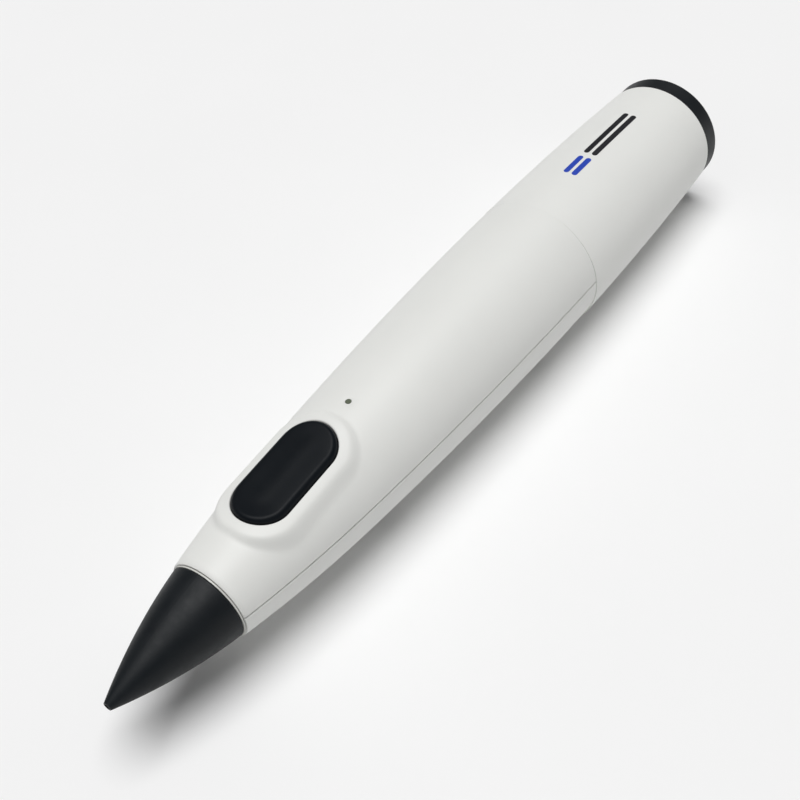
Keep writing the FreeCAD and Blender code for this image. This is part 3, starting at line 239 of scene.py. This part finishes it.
def soft_sun(name, toward, strength, spread_angle):
    """A broad light from one direction, the same over the whole floor."""
    data = bpy.data.lights.new(name, "SUN")
    data.energy = strength
    data.angle = spread_angle
    lamp = bpy.data.objects.new(name, data)
    bpy.context.scene.collection.objects.link(lamp)
    lamp.location = toward
    lamp.rotation_mode = "QUATERNION"
    lamp.rotation_quaternion = (-Vector(toward)).to_track_quat("-Z", "Y")


def make_stage():
    """A plain pale floor, a pale horizon, a dim room and one broad light from above."""
    mesh = bpy.data.meshes.new("floor")
    half = FLOOR_HALF
    mesh.from_pydata([(-half, -half, 0), (half, -half, 0), (half, half, 0), (-half, half, 0)],
                     [], [(0, 1, 2, 3)])
    floor = bpy.data.objects.new("floor", mesh)
    bpy.context.scene.collection.objects.link(floor)
    paper = bpy.data.materials.new("floor_paper")
    paper.use_nodes = True
    nodes, links = paper.node_tree.nodes, paper.node_tree.links
    shader = nodes["Principled BSDF"]
    shader.inputs["Roughness"].default_value = FLOOR_ROUGH
    shader.inputs["Specular IOR Level"].default_value = FLOOR_SPECULAR
    shader.inputs["Emission Color"].default_value = (1, 1, 1, 1)
    shader.inputs["Emission Strength"].default_value = FLOOR_GLOW
    grain = nodes.new("ShaderNodeTexNoise")
    grain.inputs["Scale"].default_value = FLOOR_GRAIN
    tint = nodes.new("ShaderNodeMix")
    tint.data_type = "RGBA"
    for socket, tone in zip((6, 7), FLOOR_TONES):
        tint.inputs[socket].default_value = (tone, tone, tone, 1)
    links.new(grain.outputs["Fac"], tint.inputs[0])
    links.new(tint.outputs[2], shader.inputs["Base Color"])
    mesh.materials.append(paper)

    world = bpy.data.worlds.new("studio")
    bpy.context.scene.world = world
    world.use_nodes = True
    tree = world.node_tree
    heading = tree.nodes.new("ShaderNodeTexCoord").outputs["Generated"]
    split = tree.nodes.new("ShaderNodeSeparateXYZ")
    tree.links.new(heading, split.inputs["Vector"])
    above = spread(tree, split.outputs["Z"], WALL_GLOW, CEILING_GLOW, *CEILING_RISE)
    horizon = spread(tree, split.outputs["Z"], HORIZON_GLOW, 0.0, *HORIZON_RISE)
    total = tree.nodes.new("ShaderNodeMath")
    total.operation = "ADD"
    tree.links.new(above, total.inputs[0])
    tree.links.new(horizon, total.inputs[1])
    tree.links.new(total.outputs[0], tree.nodes["Background"].inputs["Strength"])
    tree.nodes["Background"].inputs["Color"].default_value = (1, 1, 1, 1)
    soft_sun("key", KEY_TOWARD, KEY_STRENGTH, KEY_ANGLE)
    bpy.context.scene.view_settings.view_transform = "Standard"


make_stage()

# ---------------------------------------------------------------- materials


SHELL = (0.765, 0.769, 0.745)
BLACK = (0.0062, 0.0084, 0.0106)
MATERIALS = {
    "shell_white": dict(colour=SHELL, rough=0.44, specular=0.3, grain=5200.0, grain_depth=0.000012,
                        blotch=45.0, variation=0.012, rough_variation=0.05),
    "barrel_white": dict(colour=shade(SHELL, 1.01), rough=0.44, specular=0.3, grain=5200.0,
                         grain_depth=0.000012, blotch=45.0, variation=0.012,
                         rough_variation=0.05),
    "ring_pale": dict(colour=(0.62, 0.62, 0.59), rough=0.35, variation=0.02),
    "cover_black": dict(colour=BLACK, rough=0.50, specular=0.21, grain=3600.0, grain_depth=0.00003,
                        variation=0.12, edge=(0.045, 0.047, 0.05)),
    "cap_black": dict(colour=BLACK, rough=0.48, specular=0.30, grain=3600.0, grain_depth=0.00003,
                      variation=0.12, edge=(0.04, 0.042, 0.045)),
    "button_black": dict(colour=(0.0050, 0.0068, 0.0090), rough=0.42, specular=0.10, grain=3000.0,
                         variation=0.1, edge=(0.035, 0.038, 0.042)),
    "lamp_lens": dict(colour=(0.12, 0.14, 0.10), rough=0.25, variation=0.1),
    "screw_steel": dict(colour=(0.42, 0.42, 0.43), rough=0.34, metal=1.0, variation=0.08),
    "nozzle_brass": dict(colour=(0.78, 0.56, 0.25), rough=0.30, metal=1.0,
                         streak=(9000, 300, 300)),
    "core_aluminium": dict(colour=(0.78, 0.78, 0.80), rough=0.35, metal=1.0,
                           streak=(9000, 300, 300)),
    "heater_film": dict(colour=(0.62, 0.27, 0.05), rough=0.30, variation=0.15, coat=0.4),
    "insulation": dict(colour=(0.80, 0.79, 0.73), rough=0.85, grain=1800.0,
                       grain_depth=0.00015, variation=0.1, sheen=0.3),
    "sensor_glass": dict(colour=(0.45, 0.13, 0.07), rough=0.15, variation=0.1, coat=0.5),
    "thin_steel": dict(colour=(0.68, 0.68, 0.70), rough=0.25, metal=1.0,
                       streak=(300, 9000, 9000)),
    "mount_resin": dict(colour=(0.05, 0.05, 0.05), rough=0.6, variation=0.2),
    "guide_ptfe": dict(colour=(0.85, 0.85, 0.83), rough=0.4, variation=0.04),
    "frame_nylon": dict(colour=(0.07, 0.07, 0.075), rough=0.5, variation=0.15),
    "gearbox_brass": dict(colour=(0.74, 0.58, 0.30), rough=0.32, metal=1.0,
                          streak=(300, 9000, 300)),
    "shaft_steel": dict(colour=(0.66, 0.66, 0.68), rough=0.2, metal=1.0,
                        streak=(9000, 300, 300)),
    "gear_brass": dict(colour=(0.78, 0.62, 0.32), rough=0.3, metal=1.0, variation=0.08),
    "feed_brass": dict(colour=(0.76, 0.57, 0.27), rough=0.28, metal=1.0,
                       streak=(9000, 300, 300)),
    "motor_steel": dict(colour=(0.66, 0.66, 0.67), rough=0.28, metal=1.0,
                        streak=(300, 9000, 300)),
    "motor_nylon": dict(colour=(0.76, 0.75, 0.68), rough=0.5, variation=0.05),
    "magnet": dict(colour=(0.08, 0.08, 0.085), rough=0.7, variation=0.2),
    "rotor_steel": dict(colour=(0.45, 0.28, 0.14), rough=0.4, metal=1.0,
                        streak=(300, 9000, 9000)),
    "lever_nylon": dict(colour=(0.08, 0.08, 0.085), rough=0.5, variation=0.15),
    "bearing_steel": dict(colour=(0.70, 0.70, 0.72), rough=0.15, metal=1.0,
                          streak=(300, 9000, 300)),
    "spring_steel": dict(colour=(0.50, 0.50, 0.51), rough=0.3, metal=1.0,
                         streak=(300, 9000, 300)),
    "board_green": dict(colour=(0.02, 0.16, 0.07), rough=0.35, variation=0.15, coat=0.5),
    "switch_black": dict(colour=(0.02, 0.02, 0.02), rough=0.35, variation=0.15),
    "plunger_white": dict(colour=(0.72, 0.72, 0.68), rough=0.4, variation=0.05),
    "chip_white": dict(colour=(0.80, 0.80, 0.62), rough=0.3, variation=0.05),
    "chip_black": dict(colour=(0.02, 0.02, 0.02), rough=0.55, variation=0.2),
    "cell_wrap": dict(colour=(0.04, 0.20, 0.45), rough=0.3, variation=0.08, coat=0.5),
    "tab_nickel": dict(colour=(0.70, 0.67, 0.62), rough=0.3, metal=1.0,
                       streak=(300, 9000, 300)),
    "pad_foam": dict(colour=(0.04, 0.04, 0.04), rough=0.95, grain=1500.0,
                     grain_depth=0.0002, variation=0.2),
    "socket_steel": dict(colour=(0.58, 0.58, 0.59), rough=0.25, metal=1.0,
                         streak=(9000, 300, 300)),
    "lead_red": dict(colour=(0.45, 0.02, 0.02), rough=0.45, variation=0.1),
    "lead_black": dict(colour=(0.015, 0.015, 0.015), rough=0.45, variation=0.2),
    "lead_white": dict(colour=(0.78, 0.77, 0.71), rough=0.8, grain=2500.0,
                       grain_depth=0.0001, variation=0.1),
}

MATERIALS["mark_blue"] = dict(colour=(0.016, 0.055, 0.42), rough=0.40, variation=0.1)
MATERIALS["mark_black"] = dict(colour=(0.010, 0.010, 0.013), rough=0.40, variation=0.15)

materials = {name: finish_material(name, **facts) for name, facts in MATERIALS.items()}
slots = {entry["node"]: entry["material_slot"] for entry in frame["record"]["subparts"]}
for node, item in frame["nodes"].items():
    item.data.materials.clear()
    item.data.materials.append(materials[slots[node]])

# ---------------------------------------------------------------- the upper shell
#
# It replaces the CAD shell for one reason: the raised surround of the button runs softly into
# the body.  Sizes are in millimetres and in the pen's own lines, as in the CAD.

SHELL_KNOTS = ((23.9, 8.2), (51.8, 11.76), (124.5, 14.48))
SHELL_BULGES = (267.0, 992.0)
SHELL_EDGE = 0.12
STEP_EDGE = 0.03
SEAM = 1.0
SEAM_EDGE = 0.12
SEAM_GAP = 0.2
SEAM_DEPTH = 0.8
WALL = 1.8
MOUTH = 7.35
SPIGOT = ((124.5, 12.6), (129.5, 12.6), (129.5, 11.4), (124.5, 11.4), (122.0, 12.6))
SEAT = Vector((45.8, 0.0, 11.25))
TILT = math.radians(5.66)
UPHILL = Vector((math.cos(TILT), 0, math.sin(TILT)))
OUTWARD = Vector((-math.sin(TILT), 0, math.cos(TILT)))
OPENING_HALF = 5.65
STRAIGHT = 5.9
OUTLINE = (-13.9, 13.6, 7.95, 6.9)
CROWN_TOP = 0.45
CROWN = 15.65
BLEND_IN = 0.9
BLEND_OUT = 1.2
LIP = 0.35
COLUMNS = 40
SIDE_STEPS = 36
FRONT_STEPS = 4
REAR_STEPS = 28
FLARE = math.radians(50)
INNER_RING = 1.2
OUTER_RINGS = (4.0, 3.7, 3.4, 3.1, 2.8, 2.5, 2.2, 1.9, 1.6, 1.3, 1.0, 0.7, 0.5)
INNER_FILL = 3
OUTER_FILL = 8
LIP_STEPS = 5
DROP_STEPS = 12
DROP_LEAST = 0.3
PATCH = (27.6, 62.0)
LAMP_PLACE = 63.6
LAMP_HOLE = 0.6
LAMP_CELL = 0.8
LAMP_COLLAR = 1.15
LAMP_SINK = 0.06
POSTS = ((62.0, 6.6, 8.8), (111.5, 6.4, 10.8))
POST = 1.9
PILOT = 0.97
PILOT_TOP = 6.0
POST_SIDES = 32


def arc_height(x, start, end, radius):
    """Height at x of the outward-bulging arc of a radius from start to end."""
    run, rise = end[0] - start[0], end[1] - start[1]
    chord = math.hypot(run, rise)
    sink = math.sqrt(radius ** 2 - chord ** 2 / 4)
    centre_x = (start[0] + end[0]) / 2 + sink * rise / chord
    centre_r = (start[1] + end[1]) / 2 - sink * run / chord
    return centre_r + math.sqrt(radius ** 2 - (x - centre_x) ** 2)


def shell_radius(x):
    """The shells' outer radius at x."""
    front, waist, rear = SHELL_KNOTS
    if x <= waist[0]:
        return arc_height(max(x, front[0]), front, waist, SHELL_BULGES[0])
    return arc_height(min(x, rear[0]), waist, rear, SHELL_BULGES[1])


def inner_radius(x):
    """The upper shell's inner radius at x."""
    return max(MOUTH, shell_radius(x) - WALL)


def smooth_step(value):
    """0 to 1 with a soft start and end."""
    value = min(1.0, max(0.0, value))
    return value * value * value * (value * (6 * value - 15) + 10)


def crown_height(top, radius, across):
    """Height of a crowned surface at a distance from the pen's middle plane."""
    return top - radius + math.sqrt(radius ** 2 - across ** 2)


def surround_weight(along, across):
    """1 on the surround, 0 on the body, and a smooth slope across the surround's outline."""
    front, rear, half, corner = OUTLINE
    off_x = abs(along - (front + rear) / 2) - (rear - front) / 2 + corner
    off_y = abs(across) - half + corner
    outside = math.hypot(max(off_x, 0.0), max(off_y, 0.0)) + min(max(off_x, off_y), 0.0) - corner
    return smooth_step((BLEND_OUT - outside) / (BLEND_IN + BLEND_OUT))


def seat_place(along, across, up):
    """A place given in the button's own frame, in the pen's lines."""
    return SEAT + UPHILL * along + OUTWARD * up + Vector((0, across, 0))


def drop_to(radius_at, along, across):
    """The place on a body of revolution below a point of the button's plane."""
    up = 0.0
    for _ in range(DROP_STEPS):
        spot = seat_place(along, across, up)
        gap = math.hypot(spot.y, spot.z) - radius_at(spot.x)
        up -= gap / max(DROP_LEAST, spot.z / math.hypot(spot.y, spot.z))
    return up


def on_shell(x, angle):
    """The outer surface at a place along the pen and an angle from the top, surround included."""
    radius = shell_radius(x)
    spot = Vector((x, radius * math.sin(angle), radius * math.cos(angle)))
    local = spot - SEAT
    along, across, up = local.dot(UPHILL), spot.y, local.dot(OUTWARD)
    weight = surround_weight(along, across)
    if weight > 0:
        spot += OUTWARD * (crown_height(CROWN_TOP, CROWN, across) - up) * weight
    return spot


def around_stadium():
    """The points of a loop round the button: its spine's point and outward direction for each.

    The front cap's points face the patch's front border, and so on round, so quads stay even.
    """
    rest = math.pi / 2 - FLARE
    run = 2 * rest * OPENING_HALF + 2 * STRAIGHT
    points = []
    for way in (-1, 1):
        for i in range(COLUMNS + 1):
            angle = FLARE * (2 * i / COLUMNS - 1)
            points.append((way, way * STRAIGHT, angle))
        for i in range(1, SIDE_STEPS):
            travelled = run * i / SIDE_STEPS
            if travelled < rest * OPENING_HALF:
                points.append((way, way * STRAIGHT, FLARE + travelled / OPENING_HALF))
            elif travelled > run - rest * OPENING_HALF:
                angle = FLARE + (run - travelled) / OPENING_HALF
                points.append((-way, -way * STRAIGHT, -angle))
            else:
                points.append((way, way * (STRAIGHT + rest * OPENING_HALF - travelled),
                               math.pi / 2))
    return [(Vector((along, 0)), Vector((way * math.cos(angle), -way * math.sin(angle))))
            for way, along, angle in points]


STADIUM = around_stadium()


SAME_PLACE = 1e-6


class Skin:
    """A mesh in the making: places in the pen's lines, and faces between them."""

    def __init__(self):
        self.places = []
        self.faces = []

    def add(self, place):
        """Keep a place and return its number."""
        self.places.append(place)
        return len(self.places) - 1

    def row(self, places):
        """Keep some places and return their numbers."""
        return [self.add(place) for place in places]

    def strip(self, first, second, closed=False):
        """Quads between two rows of the same length."""
        count = len(first)
        for i in range(count if closed else count - 1):
            j = (i + 1) % count
            self.faces.append((first[i], first[j], second[j], second[i]))

    def finish(self, name, smooth_under=40):
        """The piece, with its faces outward and its sharp edges marked."""
        mesh = bpy.data.meshes.new(name)
        mesh.from_pydata([pen(*place) for place in self.places], [], self.faces)
        work = bmesh.new()
        work.from_mesh(mesh)
        bmesh.ops.remove_doubles(work, verts=work.verts, dist=SAME_PLACE)
        bmesh.ops.recalc_face_normals(work, faces=work.faces)
        work.to_mesh(mesh)
        work.free()
        mesh.shade_smooth()
        mesh.set_sharp_from_angle(angle=math.radians(smooth_under))
        piece = bpy.data.objects.new(name, mesh)
        bpy.context.scene.collection.objects.link(piece)
        return piece


def polar(x, radius, angle):
    """A place at a radius and an angle from the top."""
    return Vector((x, radius * math.sin(angle), radius * math.cos(angle)))


def seam_angle(radius, height):
    """The angle from the top at which a circle comes down to a height."""
    return math.acos(height / radius)


def shell_skin(skin, inside):
    """One skin of the upper shell, from the front edge to the step.

    Returns its first and last rows, its two seam edges, and the loops round its two holes.
    """
    radius_at = inner_radius if inside else shell_radius
    height = SEAM if inside else SEAM + SEAM_GAP + SEAM_EDGE
    turns = [2 * i / COLUMNS - 1 for i in range(COLUMNS + 1)]

    def place_at(x, angle):
        return polar(x, radius_at(x), angle) if inside else on_shell(x, angle)

    def ring(x):
        widest = seam_angle(radius_at(x), height)
        return skin.row(place_at(x, widest * turn) for turn in turns)

    start, end = SHELL_KNOTS[0][0], SHELL_KNOTS[-1][0]
    end = SPIGOT[-1][0] if inside else end - STEP_EDGE
    start = start if inside else start + SHELL_EDGE
    fronts = [ring(start + (PATCH[0] - start) * i / FRONT_STEPS) for i in range(FRONT_STEPS + 1)]
    for first, second in zip(fronts, fronts[1:]):
        skin.strip(first, second)

    # the patch round the button: a loop of its border, then rings inwards to the opening
    sides = {}
    for way in (1, -1):
        spots = [PATCH[0] + (PATCH[1] - PATCH[0]) * i / SIDE_STEPS for i in range(1, SIDE_STEPS)]
        sides[way] = skin.row(polar(x, radius_at(x), way * seam_angle(radius_at(x), height))
                              for x in spots)
    lamps = [ring(PATCH[1] + LAMP_CELL * i) for i in range(5)]
    border = fronts[-1] + sides[1] + lamps[0][::-1] + sides[-1][::-1]

    offsets = (INNER_RING,) if inside else OUTER_RINGS

    def flat_ring(offset):
        """(x, angle) of the body's points below a ring round the opening."""
        spots = []
        for spine, outward in STADIUM:
            along, across = spine + outward * (OPENING_HALF + offset)
            spot = seat_place(along, across, drop_to(radius_at, along, across))
            spots.append((spot.x, math.atan2(spot.y, spot.z)))
        return spots

    outermost = flat_ring(offsets[0])
    loop = border
    steps = INNER_FILL if inside else OUTER_FILL
    for i in range(1, steps):
        blend = i / steps
        places = []
        for index, (x, angle) in zip(border, outermost):
            edge = skin.places[index]
            edge_angle = math.atan2(edge.y, edge.z)
            places.append(place_at(edge.x + (x - edge.x) * blend,
                                   edge_angle + (angle - edge_angle) * blend))
        ring_now = skin.row(places)
        skin.strip(loop, ring_now, closed=True)
        loop = ring_now
    for offset in offsets:
        ring_now = skin.row(place_at(x, angle) for x, angle in flat_ring(offset))
        skin.strip(loop, ring_now, closed=True)
        loop = ring_now
    if inside:
        spots = [spine + outward * OPENING_HALF for spine, outward in STADIUM]
        last = skin.row(seat_place(p.x, p.y, drop_to(radius_at, p.x, p.y)) for p in spots)
        skin.strip(loop, last, closed=True)
        loop = last
    else:
        for i in range(LIP_STEPS + 1):
            lean = math.pi / 2 * i / LIP_STEPS
            places = []
            for spine, outward in STADIUM:
                along, across = spine + outward * (OPENING_HALF + LIP * (1 - math.sin(lean)))
                crown = crown_height(CROWN_TOP, CROWN, across)
                places.append(seat_place(along, across, crown - LIP * (1 - math.cos(lean))))
            ring_now = skin.row(places)
            skin.strip(loop, ring_now, closed=True)
            loop = ring_now
    button_loop = loop

    # the cells round the indicator's hole
    middle = COLUMNS // 2
    low, high = middle - 2, middle + 2
    for first, second in zip(lamps, lamps[1:]):
        skin.strip(first[:low + 1], second[:low + 1])
        skin.strip(first[high:], second[high:])
    square = (lamps[0][low:high + 1] + [row[high] for row in lamps[1:4]]
              + lamps[4][low:high + 1][::-1] + [row[low] for row in lamps[3:0:-1]])
    loop = square
    for radius in (LAMP_COLLAR * LAMP_HOLE, LAMP_HOLE):
        places = []
        for index in square:
            edge = skin.places[index]
            heading = math.atan2(edge.y, edge.x - LAMP_PLACE)
            across = radius * math.sin(heading)
            x = LAMP_PLACE + radius * math.cos(heading)
            sink = 0.0 if inside or radius > LAMP_HOLE else LAMP_SINK
            places.append(Vector((x, across, math.sqrt((radius_at(x) - sink) ** 2 - across ** 2))))
        ring_now = skin.row(places)
        skin.strip(loop, ring_now, closed=True)
        loop = ring_now

    start = PATCH[1] + 4 * LAMP_CELL
    rears = [lamps[4]] + [ring(start + (end - start) * i / REAR_STEPS)
                          for i in range(1, REAR_STEPS + 1)]
    for first, second in zip(rears, rears[1:]):
        skin.strip(first, second)
    edges = {}
    for way, column in ((1, COLUMNS), (-1, 0)):
        edges[way] = ([row[column] for row in fronts] + sides[way]
                      + [row[column] for row in lamps[:4]] + [row[column] for row in rears])
    return (fronts[0], rears[-1]), edges, button_loop, loop


def upper_shell():
    """The upper half of the body with the soft surround, closed round its whole thickness."""
    skin = Skin()
    turns = [2 * i / COLUMNS - 1 for i in range(COLUMNS + 1)]
    outer_rows, outer_edges, outer_button, outer_lamp = shell_skin(skin, inside=False)
    inner_rows, inner_edges, inner_button, inner_lamp = shell_skin(skin, inside=True)
    skin.strip(outer_button, inner_button, closed=True)
    skin.strip(outer_lamp, inner_lamp, closed=True)

    def ring(x, radius, height=SEAM):
        widest = seam_angle(radius, height)
        return skin.row(polar(x, radius, widest * turn) for turn in turns)

    (front_x, front_r), (rear_x, rear_r) = SHELL_KNOTS[0], SHELL_KNOTS[-1]
    front = ring(front_x, front_r - SHELL_EDGE, SEAM + SEAM_GAP + SEAM_EDGE)
    skin.strip(front, outer_rows[0])
    skin.strip(inner_rows[0], front)
    tail = [ring(rear_x, rear_r - STEP_EDGE, SEAM + SEAM_GAP + SEAM_EDGE)]
    tail += [ring(x, radius) for x, radius in SPIGOT[:-1]]
    tail.append(inner_rows[-1])
    skin.strip(outer_rows[-1], tail[0])
    for first, second in zip(tail, tail[1:]):
        skin.strip(first, second)

    for way, column in ((1, COLUMNS), (-1, 0)):
        upper = [front[column]] + outer_edges[way] + [tail[0][column]]
        loops = [upper]
        for inset, height in ((SEAM_EDGE, SEAM + SEAM_GAP), (SEAM_DEPTH, SEAM + SEAM_GAP),
                              (SEAM_DEPTH, SEAM)):
            places = []
            for index in upper:
                place = skin.places[index]
                radius = math.hypot(place.y, place.z) - inset
                across = way * math.sqrt(radius ** 2 - height ** 2)
                places.append(Vector((place.x, across, height)))
            loops.append(skin.row(places))
        for first, second in zip(loops, loops[1:]):
            skin.strip(first, second)
        skin.faces.append(loops[-1] + [row[column] for row in tail[1:-1]] + inner_edges[way][::-1])
        skin.faces.append([loop[0] for loop in loops] + [inner_rows[0][column]])
        skin.faces.append([loop[-1] for loop in loops] + [tail[1][column]])

    around = [2 * math.pi * i / POST_SIDES for i in range(POST_SIDES)]
    for x, side, top in POSTS:
        for way in (1, -1):
            def circle(radius, z):
                return skin.row(Vector((x + radius * math.cos(a),
                                        way * side + radius * math.sin(a), z)) for a in around)

            loops = [circle(POST, top), circle(POST, SEAM), circle(PILOT, SEAM),
                     circle(PILOT, PILOT_TOP)]
            for first, second in zip(loops, loops[1:]):
                skin.strip(first, second, closed=True)
            skin.faces += [tuple(loops[0]), tuple(loops[-1])]
    return skin.finish("shell_upper_soft")


BUTTON_HALF = 5.5
BUTTON_TOP = 1.0
BUTTON_CROWN = 16.65
BUTTON_FOOT = -2.5
BUTTON_WALL = 1.3
BUTTON_CEILING = -0.2
BUTTON_ROUND = 0.85
RIM_INSET = 0.85
RIM_SLOPE = 3.5
DISH_DEPTH = 0.45
STEM = (1.5, -1.55)
STEM_SIDES = 24
TABS = (10.6, 12.3, 2.2, -3.0)
ROUND_STEPS = 6
DISH_STEPS = 14
DISH_MIDDLE = [4.7, 5.0, 5.3]
BUTTON_SMOOTH = 50


def button_top(inset, across):
    """Height of the button's top: crowned, with a raised rim round a shallow dish."""
    run = min(1.0, max(0.0, (inset - RIM_INSET) / RIM_SLOPE))
    sink = DISH_DEPTH * math.sin(math.pi / 2 * run)
    return crown_height(BUTTON_TOP, BUTTON_CROWN, across) - sink


def feed_button():
    """The button: rounded edge, raised rim and finger dish, hollow below, with stem and tabs."""
    skin = Skin()

    def ring(inset, height):
        places = []
        for spine, outward in STADIUM:
            along, across = spine + outward * (BUTTON_HALF - inset)
            places.append(seat_place(along, across, height(across)))
        return skin.row(places)

    loops = [ring(BUTTON_WALL, lambda across: BUTTON_CEILING),
             ring(BUTTON_WALL, lambda across: BUTTON_FOOT),
             ring(0, lambda across: BUTTON_FOOT)]
    for i in range(ROUND_STEPS + 1):
        lean = math.pi / 2 * i / ROUND_STEPS
        inset = BUTTON_ROUND * (1 - math.cos(lean))
        drop = BUTTON_ROUND * (1 - math.sin(lean))
        loops.append(ring(inset, lambda across: button_top(inset, across) - drop))
    slope = [RIM_INSET + RIM_SLOPE * i / DISH_STEPS for i in range(1, DISH_STEPS + 1)]
    for inset in slope + DISH_MIDDLE:
        loops.append(ring(inset, lambda across: button_top(inset, across)))
    for first, second in zip(loops, loops[1:]):
        skin.strip(first, second, closed=True)
    skin.faces += [tuple(loops[0]), tuple(loops[-1])]

    radius, foot = STEM
    around = [2 * math.pi * i / STEM_SIDES for i in range(STEM_SIDES)]
    ends = [skin.row(seat_place(radius * math.cos(a), radius * math.sin(a), up) for a in around)
            for up in (BUTTON_CEILING, foot)]
    skin.strip(*ends, closed=True)
    skin.faces += [tuple(end) for end in ends]
    near, far, half, foot = TABS
    for way in (1, -1):
        corners = ((near, -half), (far, -half), (far, half), (near, half))
        ends = [skin.row(seat_place(way * along, across, up) for along, across in corners)
                for up in (BUTTON_FOOT, foot)]
        skin.strip(*ends, closed=True)
        skin.faces += [tuple(end) for end in ends]
    return skin.finish("button_dished", smooth_under=BUTTON_SMOOTH)


button = feed_button()
button.data.materials.append(materials["button_black"])
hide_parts("feed_button")
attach(button, "button")

shell = upper_shell()
shell.data.materials.append(materials["shell_white"])
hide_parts("upper_shell")
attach(shell, "pen_body")

# ---------------------------------------------------------------- the printed mark
#
# Plain blue and black bars. They stand for no maker and spell nothing.

BARREL_AXIS = -0.2
BARREL = ((124.5, 14.65), (175.6, 13.2), 867.0)
PRINT_LIFT = 0.025
PRINT_SINK = 0.05
STRIPES = {"mark_blue": (137.5, 144.2), "mark_black": (145.6, 163.0)}
STRIPE_SIDE = 0.95
STRIPE_HALF = 0.6
END_STEPS = 6
MIDDLE_STEPS = 10
ACROSS_STEPS = 3
LEAST_SQUARE = 1e-6


def print_bar(skin, start, end, side):
    """One thin printed bar with round ends, lying on the barrel's top."""
    steps = [STRIPE_HALF * (1 - math.cos(math.pi / 2 * i / END_STEPS)) for i in range(END_STEPS + 1)]
    middle = [STRIPE_HALF + (end - start - 2 * STRIPE_HALF) * i / MIDDLE_STEPS
              for i in range(1, MIDDLE_STEPS)]
    stations = steps + middle + [end - start - step for step in reversed(steps)]
    layers = []
    for lift in (PRINT_LIFT, -PRINT_SINK):
        rows = []
        for run in stations:
            from_end = min(run, end - start - run, STRIPE_HALF)
            half = math.sqrt(max(LEAST_SQUARE, STRIPE_HALF ** 2 - (STRIPE_HALF - from_end) ** 2))
            radius = arc_height(start + run, *BARREL) + lift
            spots = [side + half * i / ACROSS_STEPS for i in range(-ACROSS_STEPS, ACROSS_STEPS + 1)]
            rows.append(skin.row(
                Vector((start + run, y, BARREL_AXIS + math.sqrt(radius ** 2 - y ** 2)))
                for y in spots))
        for first, second in zip(rows, rows[1:]):
            skin.strip(first, second)
        layers.append(rows[0] + [row[-1] for row in rows[1:-1]] + rows[-1][::-1]
                      + [row[0] for row in rows[-2:0:-1]])
    skin.strip(*layers, closed=True)


for name, (start, end) in STRIPES.items():
    skin = Skin()
    for way in (1, -1):
        print_bar(skin, start, end, way * STRIPE_SIDE)
    mark = skin.finish(name)
    mark.data.materials.append(materials[name])
    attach(mark, "pen_body")
